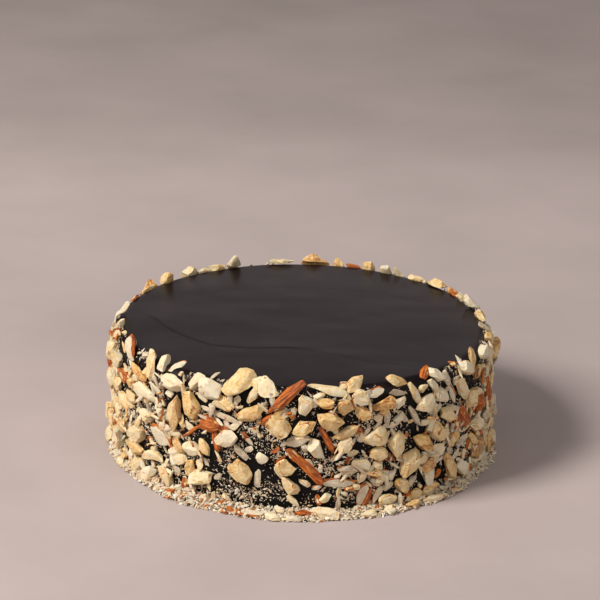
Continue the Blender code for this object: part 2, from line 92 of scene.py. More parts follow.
# Unevenness of the side and of the top: the height of each layer, its cell size and its seed.
SIDE_WAVES = ((0.00022, (0.016, 0.016, 0.007), 3), (0.00012, 0.005, 4))
TOP_WAVES = ((0.00024, (0.050, 0.024, 1), 5), (0.00007, (0.018, 0.009, 1), 6))

# The glaze's colours, the range of its roughness, and the band of heights over which the side's painted
# shade (its colour darkened) and added roughness give way to the top.
GLAZE_COLOURS = ((0.3, (0.0062, 0.0027, 0.0029)), (0.7, (0.0092, 0.0042, 0.0044)))
GLAZE_ROUGHNESS = (0.34, 0.45)
RIM_BAND = (0.056, 0.0625)
# How dark the side's painted shade is: the side's colour is multiplied by this.
SIDE_PAINTED_SHADE = 0.10
SIDE_DULLNESS = 0.25


def soft_noise(points, cell, seed):
    """Smooth noise from -1 to 1: hashed values at the corners of a lattice, blended along each axis.

    The blend at a share t of the way from one corner to the next is 3t^2 - 2t^3.
    """
    at = points / np.asarray(cell, float)
    low = np.floor(at).astype(np.int64)
    part = at - low
    part = part * part * (3 - 2 * part)
    total = np.zeros(points.shape[:-1])
    for corner in np.ndindex(2, 2, 2):
        mixed = ((low + corner) * (73856093, 19349663, 83492791)).sum(axis=-1) + 7919 * seed
        mixed = (mixed ^ (mixed >> 13)) * 1274126177
        mixed = mixed ^ (mixed >> 16)
        value = (mixed & 0xFFFF) / 32767.5 - 1
        total += np.prod(np.where(corner, part, 1 - part), axis=-1) * value
    return total


def waves(points, layers):
    """The sum of layers of soft noise, each times its height."""
    return sum(height * soft_noise(points, cell, seed) for height, cell, seed in layers)


def knife_relief(across, along):
    """Height over the top: a step beside each knife mark that dies out behind it, minus a fine groove."""
    height = np.zeros(across.shape)
    for points_mm, depth_mm, width_mm in KNIFE_MARKS:
        knots = np.array(points_mm) * MM
        nearest = np.full(across.shape, 1.0)
        beside = np.zeros(across.shape)
        for start, end in zip(knots[:-1], knots[1:]):
            way = end - start
            length = np.hypot(*way)
            way = way / length
            run = np.clip((across - start[0]) * way[0] + (along - start[1]) * way[1], 0, length)
            off_x = across - start[0] - run * way[0]
            off_y = along - start[1] - run * way[1]
            distance = np.hypot(off_x, off_y)
            closer = distance < nearest
            nearest = np.where(closer, distance, nearest)
            beside = np.where(closer, way[0] * off_y - way[1] * off_x, beside)
        step = np.exp(-nearest / STEP_FADE) * 0.5 * (1 + np.tanh(beside / (0.5 * width_mm * MM)))
        groove = np.exp(-((nearest / (GROOVE_WIDTH * width_mm * MM)) ** 2))
        height += depth_mm * MM * (step - GROOVE_DEPTH * groove)
    return height


def glaze_points():
    """Rows of points from the foot up the side, over the rim and in to the middle of the top.

    The profile is a straight side, a quarter circle and a flat top. Broad soft noise pushes the side in
    and out and the top up and down by a fraction of a millimetre, as a palette knife leaves it.
    """
    turn = np.linspace(0, math.pi / 2, RIM_ROWS)
    rim_radius = GLAZE_RADIUS - RIM_ROUNDING * (1 - np.cos(turn))
    rim_height = STRAIGHT_TOP + RIM_ROUNDING * np.sin(turn)
    side_height = np.linspace(0, STRAIGHT_TOP, SIDE_ROWS + 1)[:-1]
    top_radius = (GLAZE_RADIUS - RIM_ROUNDING) * np.linspace(1, INNERMOST, TOP_ROWS + 1)[1:]
    radius = np.concatenate([np.full(SIDE_ROWS, GLAZE_RADIUS), rim_radius, top_radius])
    height = np.concatenate([side_height, rim_height, np.full(TOP_ROWS, CAKE_HEIGHT)])
    angle = np.linspace(0, 2 * math.pi, AROUND, endpoint=False)
    out = np.stack([np.sin(angle), -np.cos(angle), 0 * angle], axis=-1)
    points = radius[:, None, None] * out + height[:, None, None] * np.array([0, 0, 1.0])
    on_top = np.clip((height - STRAIGHT_TOP) / RIM_ROUNDING, 0, 1)[:, None]
    spread = (1 - on_top) * (waves(points, SIDE_WAVES) - GLAZE_INSET) / radius[:, None]
    points[..., :2] *= (1 + spread)[..., None]
    rise = waves(points, TOP_WAVES) + knife_relief(points[..., 0], points[..., 1]) - GLAZE_INSET
    points[..., 2] += on_top * rise
    return points


def closed_skin(rows):
    """Triangles over rows of points that close round, with a tip before the first row and after the last.

    The two tips are the first two points of the mesh, and the rows follow them.
    """
    row_count, side_count = rows.shape[:2]
    index = 2 + np.arange(row_count * side_count).reshape(row_count, side_count)
    after = np.roll(index, -1, axis=1)
    triangles = [
        np.stack([0 * index[0], after[0], index[0]], axis=-1),
        np.stack([index[:-1], after[:-1], after[1:]], axis=-1),
        np.stack([index[:-1], after[1:], index[1:]], axis=-1),
        np.stack([0 * index[0] + 1, index[-1], after[-1]], axis=-1),
    ]
    return np.vstack([corners.reshape(-1, 3) for corners in triangles])


def piece_from(name, points, faces, material, attributes=None, smooth=True):
    """A mesh piece from arrays of points and triangles, kept within the cake's size, riding on the cake."""
    points = np.clip(points, *cad_box)
    mesh = bpy.data.meshes.new(name)
    mesh.vertices.add(len(points))
    mesh.vertices.foreach_set("co", np.ascontiguousarray(points, np.float32).ravel())
    mesh.loops.add(faces.size)
    mesh.polygons.add(len(faces))
    mesh.polygons.foreach_set("loop_start", np.arange(0, faces.size, 3, dtype=np.int32))
    mesh.polygons.foreach_set("vertices", np.ascontiguousarray(faces, np.int32).ravel())
    mesh.update(calc_edges=True)
    if smooth:
        mesh.shade_smooth()
        mesh.set_sharp_from_angle(angle=CREASE_ANGLE)
    else:
        mesh.shade_flat()
    for label, values in (attributes or {}).items():
        kind, key = ("FLOAT_VECTOR", "vector") if values.ndim == 2 else ("FLOAT", "value")
        layer = mesh.attributes.new(label, kind, "POINT")
        layer.data.foreach_set(key, np.ascontiguousarray(values, np.float32).ravel())
    mesh.materials.append(material)
    piece = bpy.data.objects.new(name, mesh)
    bpy.context.scene.collection.objects.link(piece)
    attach(piece, "root")
    return piece


class Finish:
    """A node material. Its methods add nodes and return their outputs, and wear sets the surface."""

    def __init__(self, name):
        self.material = bpy.data.materials.new(name)
        self.material.use_nodes = True
        self.tree = self.material.node_tree

    def feed(self, socket, value):
        """Links a socket to a node's output, or sets it to a number, a vector or a linear colour."""
        if isinstance(value, bpy.types.NodeSocket):
            self.tree.links.new(value, socket)
        elif socket.type == "RGBA":
            socket.default_value = (*value, 1)
        else:
            socket.default_value = value

    def add(self, kind, inputs=None, **settings):
        """A new node with some of its settings and inputs set."""
        node = self.tree.nodes.new(kind)
        for key, value in settings.items():
            setattr(node, key, value)
        for key, value in (inputs or {}).items():
            self.feed(node.inputs[key], value)
        return node

    def place(self):
        """Object coordinates."""
        return self.add("ShaderNodeTexCoord").outputs["Object"]

    def stored(self, label, output="Fac"):
        """An attribute of the piece's own mesh."""
        return self.add("ShaderNodeAttribute", attribute_name=label).outputs[output]

    def noise(self, vector, scale, detail, roughness=0.5):
        """Noise of so many cells a metre."""
        inputs = {"Vector": vector, "Scale": scale, "Detail": detail, "Roughness": roughness}
        return self.add("ShaderNodeTexNoise", inputs).outputs["Fac"]

    def mapped(self, value, low, high, to_low, to_high):
        """A value from low to high stretched to run from to_low to to_high, and held beyond."""
        inputs = {"Value": value, "From Min": low, "From Max": high, "To Min": to_low, "To Max": to_high}
        return self.add("ShaderNodeMapRange", inputs).outputs["Result"]

    def sum_of(self, operation, *values, clamp=False):
        """A sum, product or the like of one to three values."""
        settings = {"operation": operation, "use_clamp": clamp}
        return self.add("ShaderNodeMath", dict(enumerate(values)), **settings).outputs[0]

    def ramp(self, factor, stops):
        """A colour by a factor: each stop is a place from 0 to 1 and a linear colour."""
        node = self.add("ShaderNodeValToRGB", {"Fac": factor})
        elements = node.color_ramp.elements
        while len(elements) > 1:
            elements.remove(elements[-1])
        for number, (place, colour) in enumerate(stops):
            element = elements[0] if number == 0 else elements.new(place)
            element.position = place
            element.color = (*colour, 1)
        return node.outputs["Color"]

    def mixed(self, factor, first, second, blend="MIX"):
        """Two colours mixed by a factor."""
        inputs = {0: factor, 6: first, 7: second}
        return self.add("ShaderNodeMix", inputs, data_type="RGBA", blend_type=blend).outputs[2]

    def bump(self, height, strength, distance, invert=False):
        """A surface roughened by a height."""
        inputs = {"Height": height, "Strength": strength, "Distance": distance}
        return self.add("ShaderNodeBump", inputs, invert=invert).outputs["Normal"]

    def wear(self, **sockets):
        """Sets the shader's sockets, named with _ for a space, and returns the material."""
        shader = self.tree.nodes["Principled BSDF"]
        for key, value in sockets.items():
            self.feed(shader.inputs[key.replace("_", " ")], value)
        return self.material


def chocolate_glaze():
    """Set dark chocolate glaze: nearly black, satin, with a faint grain and slightly uneven gloss."""
    finish = Finish("chocolate_glaze")
    place = finish.place()
    cloud = finish.noise(place, 55, 3)
    height = finish.add("ShaderNodeSeparateXYZ", {"Vector": place}).outputs["Z"]
    # Painted shade: below the rim band the side's colour is multiplied down, darker than the top.
    shade = finish.mapped(height, *RIM_BAND, SIDE_PAINTED_SHADE, 1)
    colour = finish.mixed(1, finish.ramp(cloud, GLAZE_COLOURS), shade, "MULTIPLY")
    dullness = finish.mapped(height, *RIM_BAND, SIDE_DULLNESS, 0)
    gloss = finish.sum_of("ADD", finish.mapped(cloud, 0, 1, *GLAZE_ROUGHNESS), dullness)
    grain = finish.bump(finish.noise(place, 1400, 2), strength=0.10, distance=0.0003)
    return finish.wear(Base_Color=colour, Roughness=gloss, Normal=grain, Specular_IOR_Level=0.20)


glaze_rows = glaze_points()
glaze_tips = np.array([[0, 0, 0], [0, 0, glaze_rows[-1, :, 2].mean()]])
glazed_body = piece_from(
    "glazed_body",
    np.vstack([glaze_tips, glaze_rows.reshape(-1, 3)]),
    closed_skin(glaze_rows),
    chocolate_glaze(),
)
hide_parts("cake")


# ---------------------------------------------------------------- the coat of chopped nuts
# Cashews and almonds, roughly chopped, pressed by the handful into the soft glaze. The ones that stand
# out are placed one by one, and the rest are drawn at random and settled so that they lie side by side.

SEED = 4711

# Lengths: the smallest nut that is an object of its own, and the largest and smallest drawn ones.
BERRY_SIZE = 0.013
LARGEST_DRAWN = 0.018
SMALLEST_FUSED = 0.0086

# Nuts drawn out of sight, between these angles in degrees, and all round. Each takes the roomiest of so
# many places, and its width varies by this share of what its kind has.
HIDDEN_NODES = 22
HIDDEN_ANGLES = (80, 282)
FUSED_NUTS = 112
PLACES_TRIED = 12
WIDTH_SPREAD = (0.88, 1.12)

# Settling: the rounds, the largest move in each, how freely a listed nut gives way (a drawn one is 1),
# the radius of the discs that stand for a nut, as a share of its width, and the gaps and limits it keeps.
SETTLE_ROUNDS = 60
LARGEST_MOVE = 0.001
SHOWN_DRIFT = 0.15
DISC_SHARE = 0.47
NODE_CLEARANCE = 0.0010
LEAST_CLEARANCE = 0.6 * NODE_CLEARANCE
FUSED_OVERLAP = 0.0014
SIDE_TOP = 0.0625
SIDE_FOOT = 0.0035
BANK_CLEARANCE = 1.4

# The patch left barest, low in the middle of the shown side: its angle in radians and its height, its
# half sizes in the same units, and the share of glaze left bare at its middle.
BARE_PLACE = (-0.14, 0.018)
BARE_SIZE = (0.30, 0.024)
BAREST = 0.75

# How a nut lies: how deep it is pressed in, how much of the rim's turn it follows, how far it leans,
# the gap to the glaze of a nut that is its own object, what the rim adds to it, the depth over which
# its back flattens, and the lowest point of any.
SINK = 0.0011
RIM_LEAN = 0.55
NODE_LEAN = 0.07
FUSED_LEAN = 0.20
NODE_GAP = 0.00035
RIM_GAP = 0.0024
GAP_FADE = 0.0009
LOWEST_POINT = 0.0006

# The bank of meal that the lowest nuts stand clear of, by the angle from the front in degrees: its
# reach past the glaze and its height, in millimetres. BANK_SECTION is its slope, as shares of the reach
# and of the height. BANK_UNEVEN is how far waves of these counts swell and thin it.
BANK = (
    (-180, 7.0, 3.4),
    (-150, 5.5, 3.0),
    (-120, 7.0, 3.4),
    (-95, 4.5, 2.6),
    (-56, 4.0, 2.2),
    (-46, 6.5, 3.2),
    (-36, 9.0, 3.8),
    (-27, 9.5, 3.4),
    (-18, 9.5, 2.4),
    (-8, 9.8, 2.0),
    (6, 10.8, 1.9),
    (20, 9.0, 1.9),
    (32, 8.5, 2.2),
    (42, 7.0, 2.4),
    (52, 7.5, 2.6),
    (62, 5.5, 2.4),
    (92, 5.0, 2.6),
    (130, 7.5, 3.4),
    (155, 6.0, 3.0),
)
BANK_SECTION = ((1.0, 0.0), (0.92, 0.30), (0.50, 0.62), (0.10, 1.0), (0.0, 1.15))
BANK_UNEVEN = 0.06
BANK_WAVES = (8, 13, 19)

# For each kind: thickness as a share of width, width as a share of length, powers of the outline and
# of the thickness (2 is round, higher is squarer), how deep its breaks go, bend, how lumpy and how
# wrinkled it is, its share of the coat, and the shares of the tones below among its drawn ones.
KINDS = {
    "cashew": dict(
        thick=0.74, slim=0.74, powers=(2.3, 2.3), depth=1.0, bend=0.16, lumps=1.0, wrinkles=0, share=0.62,
        tones=(0.16, 0.30, 0.26, 0.20, 0.08, 0.0, 0.0),
    ),
    "almond": dict(
        thick=0.62, slim=0.68, powers=(2.2, 2.4), depth=0.9, bend=0.06, lumps=0.5, wrinkles=1, share=0.13,
        tones=(0.03, 0.14, 0.05, 0.05, 0.05, 0.50, 0.18),
    ),
    "sliver": dict(
        thick=0.80, slim=0.36, powers=(4.0, 3.4), depth=0.5, bend=0.08, lumps=0.5, wrinkles=1, share=0.13,
        tones=(0.12, 0.26, 0.08, 0.06, 0.24, 0.20, 0.04),
    ),
    "slice": dict(
        thick=0.28, slim=0.60, powers=(2.2, 5.0), depth=0.8, bend=0.06, lumps=0.25, wrinkles=1, share=0.12,
        tones=(0.12, 0.20, 0.06, 0.06, 0.22, 0.02, 0.32),
    ),
}

# What chopping leaves of a nut: flat breaks round its sides and over its top, the deepest of them as a
# share of the half size, how strongly it curls (0 is as its kind does), and its share of the drawn nuts.
FORMS = {
    "whole": dict(sides=0, tops=0, depth=0.0, curl=0.0, share=0.10),
    "half": dict(sides=1, tops=1, depth=0.50, curl=0.0, share=0.20),
    "wedge": dict(sides=3, tops=1, depth=0.52, curl=0.0, share=0.25),
    "block": dict(sides=4, tops=1, depth=0.42, curl=0.0, share=0.27),
    "chunk": dict(sides=5, tops=2, depth=0.38, curl=0.0, share=0.18),
    "curl": dict(sides=0, tops=1, depth=0.30, curl=0.80, share=0.0),
}

# How the breaks face: they stray from an even turn by a share of their spacing, and rise from the waist
# or fall from the top in radians. Each is a share of the deepest. NICKS are as many small breaks round
# the sides and over the top, at most NICK_DEPTH of the half size deep.
UNEVEN_TURN = 0.25
SIDE_RISE = (-0.45, 0.55)
TOP_FALL = (0.15, 0.65)
DEPTH_SPREAD = (0.45, 1.0)
NICKS = (6, 3)
NICK_DEPTH = 0.32

# How crisp the edges of breaks are, how far a nut tapers, how its bend varies and is set back to stay in
# the middle, how much larger it is made to stay full size after the breaks, the rings and sides of its
# grid up to each length, and the turn of the grid round it in radians.
CRISPNESS = 80
TAPER = 0.22
BEND_SPREAD = (0.5, 1.2)
BEND_SET_BACK = 0.4
FILLED_OUT = 1.10
NUT_GRIDS = ((0.0085, (9, 14)), (BERRY_SIZE, (14, 24)), (1.0, (21, 32)))
GRID_TURN = 0.4

# Lumps and lengthwise wrinkles in the surface, in layers like the glaze's. They fade on nuts narrower
# than FULL_LUMPS and nearer the middle than LUMP_CORE, and wrinkles end at a break, the more sharply the
# higher WRINKLE_END is. The noise is shifted by these lengths from one nut to the next.
LUMPS = ((0.00046, 0.0040, 11), (0.00024, 0.0018, 12), (0.00011, 0.0009, 14))
WRINKLES = ((0.00028, (0.0075, 0.0010, 0.0010), 13),)
FULL_LUMPS = 0.006
LUMP_CORE = 0.0015
WRINKLE_END = 8
LUMP_SHIFT = 0.01
COLOUR_SHIFT = 0.013

# How toasted a nut looks, from 0 to 1, how dusty it is, and where it keeps brown skin: 1 is wherever it
# isn't cut, 2 is along one edge.
TONES = {
    "white": (0.10, 0.15, 0),
    "cream": (0.30, 0.08, 0),
    "golden": (0.50, 0.0, 0),
    "tan": (0.74, 0.05, 0),
    "grey": (0.22, 0.78, 0),
    "brown": (0.50, 0.0, 1),
    "rimmed": (0.18, 0.45, 2),
}
TOAST_SPREAD = 0.07
DUST_SPREAD = 0.06

# How far brown skin reaches past the edges of breaks. Where it is along one edge only, it starts at
# EDGE_START of the outline, and these say how fast it comes in there and goes towards the other side.
SKIN_REACH = 0.30
EDGE_START = 0.68
EDGE_GROWTH = 2.2
EDGE_TURN = 1.6

# Noise patterns over a nut: cells a metre, detail and roughness. Streaks are stretched along it.
BLOTCHES = (260, 3, 0.6)
MOTTLE = (680, 4, 0.7)
SPECKS = (1500, 3, 0.7)
STREAKS = (1300, 4, 0.65)
STREAK_STRETCH = (0.14, 1, 1)

# Colours of the kernel from raw to dark toasted, of a dusty one, of brown skin, and of meal stuck to it.
KERNEL_COLOURS = (
    (0.0, (0.85, 0.75, 0.54)),
    (0.28, (0.85, 0.66, 0.36)),
    (0.55, (0.79, 0.51, 0.175)),
    (0.80, (0.64, 0.30, 0.065)),
    (1.0, (0.33, 0.095, 0.014)),
)
DUSTY_COLOURS = ((0.35, (0.39, 0.29, 0.20)), (0.62, (0.74, 0.62, 0.47)))
SKIN_COLOURS = (
    (0.34, (0.10, 0.016, 0.002)),
    (0.45, (0.36, 0.070, 0.006)),
    (0.56, (0.66, 0.165, 0.012)),
    (0.72, (0.84, 0.33, 0.045)),
)
POWDER_COLOUR = (0.88, 0.79, 0.62)

# The nuts that stand out, from the left to the right of the shown side and then over the far rim: tone,
# kind and form, angle from the front in degrees, way up the side, length and width in millimetres, and
# turn in degrees from level.
SHOWN_NUTS = (
    ("cream cashew chunk", -83, 63, 9, 5.5, 70),
    ("golden cashew whole", -84, 24, 11, 5, 90),
    ("brown almond wedge", -79, 60.5, 11, 5.5, 38),
    ("tan cashew wedge", -77, 11, 12, 5.5, 25),
    ("golden cashew half", -75, 24.5, 12, 5, -30),
    ("cream almond block", -73.5, 51, 11.5, 8, 20),
    ("golden cashew block", -73, 38, 13, 6.5, 5),
    ("golden cashew block", -68.5, 19.5, 13.5, 6.5, 15),
    ("grey slice half", -63.5, 29, 11, 4, 0),
    ("rimmed almond half", -63, 62, 16, 7, -28),
    ("golden cashew block", -61, 38.5, 10, 5.5, -14),
    ("golden cashew whole", -59, 14, 15, 6, 0),
    ("golden cashew half", -58, 5.5, 12.5, 6.5, 36),
    ("tan cashew chunk", -57, 55.5, 14, 6, -11),
    ("cream cashew chunk", -53, 48, 17, 6.5, -12),
    ("golden cashew block", -51.5, 33.5, 10, 6, -10),
    ("white cashew block", -51.5, 5, 12.5, 7, 34),
    ("cream cashew whole", -51, 60, 14, 6, -85),
    ("cream cashew curl", -48.5, 14, 16, 6.5, 190),
    ("cream cashew wedge", -46, 63.5, 8.6, 6, -75),
    ("rimmed slice half", -45.5, 28, 15, 8.5, -18),
    ("cream cashew curl", -43, 7.5, 12, 7, 125),
    ("rimmed slice half", -42, 65.5, 9, 4, 60),
    ("cream cashew chunk", -42, 57.5, 15, 7, 0),
    ("golden cashew wedge", -39.5, 44.5, 19.5, 8, 80),
    ("tan cashew wedge", -38.5, 26, 9.5, 6.5, -35),
    ("cream cashew whole", -37.5, 18.5, 8.6, 6, 20),
    ("golden cashew half", -34, 15.5, 9.5, 4.5, 70),
    ("white cashew block", -33, 26.5, 9, 7.5, -5),
    ("tan cashew chunk", -33, 49.5, 13, 9, -68),
    ("cream cashew wedge", -32.5, 60, 11, 5, 45),
    ("golden cashew block", -30, 12.5, 12.5, 7.5, 20),
    ("golden cashew whole", -29, 28, 10, 4.5, -56),
    ("white cashew block", -27, 58.5, 12.5, 9, -20),
    ("brown almond half", -27, 41.5, 12.5, 7.5, 5),
    ("brown almond half", -25, 33, 10, 4, -78),
    ("grey sliver block", -23.5, 47, 20, 2.8, -14),
    ("golden cashew block", -23, 53, 11, 6.5, -9),
    ("white cashew block", -21.5, 35.5, 12, 8, 22),
    ("golden cashew whole", -18.5, 63.5, 17, 10, 45),
    ("golden cashew wedge", -17, 20, 13.5, 9, -53),
    ("tan cashew wedge", -15.5, 50, 13, 6.5, 35),
    ("cream cashew half", -13.5, 58, 8.6, 4, 63),
    ("grey slice half", -12.5, 17.5, 9.5, 3.2, 88),
    ("cream cashew block", -11, 62.5, 12.5, 8, -45),
    ("golden cashew block", -4.5, 45, 13, 9.5, -50),
    ("brown sliver block", -4, 58.5, 22.5, 5.2, 45),
    ("golden cashew block", -3.5, 25.5, 10, 8, -37),
    ("golden cashew wedge", -2.5, 14, 12, 6.5, -40),
    ("white cashew wedge", 0, 36.5, 12, 5.5, 15),
    ("golden cashew chunk", 1, 45.5, 11.5, 7.5, 30),
    ("cream cashew block", 1, 56, 9.5, 8.2, 90),
    ("brown sliver half", 1.5, 24.5, 22, 4.2, -45),
    ("cream cashew wedge", 5, 35.5, 12, 7.5, -68),
    ("cream slice half", 6.5, 61.5, 18, 4, -13),
    ("tan cashew half", 7.5, 57.5, 8.6, 5.5, -10),
    ("brown sliver half", 7.5, 37.5, 13.5, 3, -61),
    ("golden cashew chunk", 8, 49.5, 13.5, 9, -24),
    ("rimmed slice half", 11.5, 17, 16, 4.6, -6),
    ("tan cashew block", 12.5, 55, 9, 7.2, -27),
    ("cream cashew chunk", 12.5, 35.5, 8.6, 6.5, 54),
    ("golden cashew half", 12.5, 43.5, 12.5, 5.5, 28),
    ("rimmed slice half", 14, 21, 10, 3.6, -19),
    ("golden cashew block", 16, 65, 10.5, 6.5, 40),
    ("cream cashew block", 17, 58.5, 8.6, 7, -24),
    ("cream cashew half", 18, 24.5, 10, 5.5, -26),
    ("tan cashew block", 18, 50.5, 8.6, 5.5, -23),
    ("rimmed slice half", 18.5, 8.5, 12, 5, 75),
    ("brown sliver half", 20.5, 7.5, 10, 2.8, 72),
    ("rimmed slice half", 22, 60, 8.6, 4.6, 20),
    ("rimmed slice half", 23.5, 8, 10, 4, 56),
    ("tan cashew block", 24.5, 54, 11, 7, 13),
    ("golden cashew block", 26.5, 5, 10, 6.8, 2),
    ("grey slice wedge", 29, 58.5, 10, 3.4, -18),
    ("golden cashew block", 29, 33, 13.5, 9, -78),
    ("golden cashew half", 29.5, 63.5, 12, 5.5, -14),
    ("golden cashew block", 31.5, 10, 10.5, 6.3, -50),
    ("golden cashew block", 34.5, 23, 14.5, 10, 57),
    ("cream sliver half", 35, 56, 12.5, 3.5, -63),
    ("grey sliver half", 35, 45, 12.5, 2.6, -58),
    ("golden cashew wedge", 36.5, 4, 9.5, 5, 4),
    ("tan cashew block", 38, 29, 13, 8, -39),
    ("cream cashew chunk", 39, 50.5, 11.5, 8, 36),
    ("white cashew block", 41, 11.5, 9.5, 7, 71),
    ("cream almond half", 41.5, 37, 9, 5.5, 66),
    ("golden cashew wedge", 41.5, 4.5, 11, 6, 34),
    ("brown almond half", 41.5, 65, 8.6, 4.5, 38),
    ("white cashew block", 42, 57.5, 9, 4.8, -54),
    ("white cashew block", 43.5, 63, 9.5, 5, -50),
    ("golden cashew block", 44.5, 33, 11, 7.5, -36),
    ("cream cashew chunk", 48, 40.5, 12, 7.2, -33),
    ("golden sliver block", 50.5, 12, 18, 6, -60),
    ("rimmed slice half", 51, 50.5, 12.5, 4.2, -65),
    ("tan cashew block", 52, 26.5, 9.5, 6, 44),
    ("golden cashew half", 56, 50.5, 15, 6.5, -54),
    ("brown almond chunk", 56.5, 35.5, 13, 7, -50),
    ("cream cashew block", 57.5, 58.5, 10, 7, -33),
    ("grey slice half", 57.5, 21.5, 8.6, 4.2, 42),
    ("golden cashew whole", 63.5, 19, 11.5, 5, -40),
    ("golden cashew half", 66, 53, 9, 4.2, 36),
    ("white cashew block", 71.5, 60, 11.5, 7.5, -9),
    ("grey cashew whole", 73, 5, 9, 6.5, 60),
    ("cream cashew block", 74, 49.5, 10.5, 5, 17),
    ("grey cashew whole", 75, 25, 12, 6.5, -30),
    ("golden cashew half", 76, 11, 12, 5.5, 70),
    ("brown almond whole", 79, 36, 12, 6.5, 50),
    ("golden cashew whole", 82, 22, 9, 6, -50),
    ("brown almond half", 82, 14, 8.6, 5, -28),
    ("cream cashew whole", 82, 51, 9, 4.5, 70),
    ("golden cashew whole", 82, 60.5, 9.5, 5.5, -45),
    ("tan cashew half", 84.5, 38, 14, 4, 80),
    ("white cashew chunk", 89, 63.5, 10, 3.5, -60),
    ("golden cashew block", 98.5, 64, 9.5, 6, 0),
    ("white cashew half", 108.5, 64, 14, 6, 80),
    ("cream cashew block", 115.5, 64, 10, 5, 75),
    ("brown almond half", 121, 63, 8.6, 4, 10),
    ("golden cashew whole", 130.5, 64, 13, 6.5, -10),
    ("golden cashew block", 139.5, 64, 9, 5, 20),
    ("cream cashew wedge", 146.5, 64, 8.6, 5, 60),
    ("white cashew block", 151, 64.5, 10, 5.5, 80),
    ("brown almond half", 163, 63.5, 8.6, 3.5, 5),
    ("cream cashew half", 188, 65, 13.5, 5.5, 0),
    ("white cashew wedge", 204, 64, 15.5, 7, 80),
    ("golden cashew chunk", 210.5, 64, 9, 6, 10),
    ("cream cashew block", 215.5, 63, 8.6, 4, 0),
    ("golden cashew chunk", 231, 64.5, 12.5, 8, 70),
    ("golden cashew half", 241, 63, 12, 4, 0),
    ("brown almond half", 250.5, 63, 8.6, 3.5, 0),
    ("white sliver half", 266.5, 63, 15.5, 4.2, 85),
)


def listed_nuts(table, up_unit, first_seed, smallest_node=math.inf):
    """The nuts of a table. One of at least the smallest node's length is an object of its own."""
    nuts = []
    for number, (looks, angle, way_up, length, width, turn) in enumerate(table):
        tone, kind, form = looks.split()
        nut = dict(kind=kind, form=form, tone=tone, drift=SHOWN_DRIFT, seed=first_seed + number)
        nut.update(angle=math.radians(angle), way_up=way_up * up_unit, turn=math.radians(turn))
        nut.update(length=length * MM, width=width * MM, as_node=length * MM >= smallest_node)
        nuts.append(nut)
    return nuts


def bank_size(angles):
    """Reach and height of the bank at each angle: the table, times a sum of sines for the unevenness."""
    draw = np.random.default_rng([SEED, 5])
    knots, reach, height = np.array(BANK, float).T
    swell = np.ones_like(angles)
    for count in BANK_WAVES:
        share, start = draw.uniform(0.5, 1.0), draw.uniform(0, 2 * math.pi)
        swell = swell + BANK_UNEVEN * share * np.sin(count * angles + start)
    degrees = np.degrees(angles)
    return [MM * swell * np.interp(degrees, knots, sizes, period=360) for sizes in (reach, height)]


def discs_under(nut):
    """Middles, from the nut's own middle, of a row of discs one width across that covers its outline."""
    reach = (nut["length"] - nut["width"]) / 2
    count = 1 + 2 * math.ceil(reach / (nut["width"] / 2))
    along = np.linspace(-reach, reach, count)
    return np.stack([along * math.cos(nut["turn"]), along * math.sin(nut["turn"])], axis=1)


def unrolled(nuts):
    """Middles of the nuts on the unrolled side, in metres round and up it."""
    return np.array([[nut["angle"] * GLAZE_RADIUS, nut["way_up"]] for nut in nuts])


def discs_of(nuts, share):
    """Middles on the unrolled side, and radii, of discs that cover the nuts: a share of the width each."""
    rows = [discs_under(nut) + unrolled([nut]) for nut in nuts]
    return np.vstack(rows), np.repeat([share * nut["width"] for nut in nuts], [len(row) for row in rows])


def apart(here, there):
    """Differences (here, there, 2) between points on the unrolled side, the short way round the cake."""
    across = here[:, None, :] - there[None, :, :]
    around = 2 * math.pi * GLAZE_RADIUS
    across[..., 0] -= around * np.round(across[..., 0] / around)
    return across


def room_at(points, middles, radii):
    """How far each point on the unrolled side is from the nearest disc."""
    across = apart(points, middles)
    return (np.hypot(across[..., 0], across[..., 1]) - radii).min(axis=1)


def bareness(angle, way_up):
    """Share of the glaze left bare: most in the bare patch, less by a bell curve away from it."""
    patch = ((angle - BARE_PLACE[0]) / BARE_SIZE[0]) ** 2 + ((way_up - BARE_PLACE[1]) / BARE_SIZE[1]) ** 2
    return BAREST * np.exp(-(patch**2))


def drawn_name(draw, table):
    """One name of a table, drawn by the shares in it."""
    return str(draw.choice(list(table), p=[entry["share"] for entry in table.values()]))


def strew(nuts, count, longest, shortest, angles, as_node, seed):
    """Adds drawn nuts, the longest first, each at the roomiest of some drawn places."""
    draw = np.random.default_rng([SEED, seed])
    for length in np.linspace(longest, shortest, count):
        nut = dict(kind=drawn_name(draw, KINDS), form=drawn_name(draw, FORMS), tone=None, length=length)
        angle = draw.uniform(*angles, PLACES_TRIED)
        places = np.stack([angle, draw.uniform(SIDE_FOOT, SIDE_TOP, PLACES_TRIED)], axis=1)
        sizes = np.array([other["length"] + other["width"] for other in nuts]) / 4
        room = room_at(places * (GLAZE_RADIUS, 1), unrolled(nuts), sizes)
        room -= length * bareness(*places.T)
        nut["angle"], nut["way_up"] = places[room.argmax()]
        nut["width"] = length * KINDS[nut["kind"]]["slim"] * draw.uniform(*WIDTH_SPREAD)
        nut["turn"] = draw.uniform(-math.pi / 2, math.pi / 2)
        nut.update(as_node=as_node, drift=1.0, seed=len(nuts))
        nuts.append(nut)


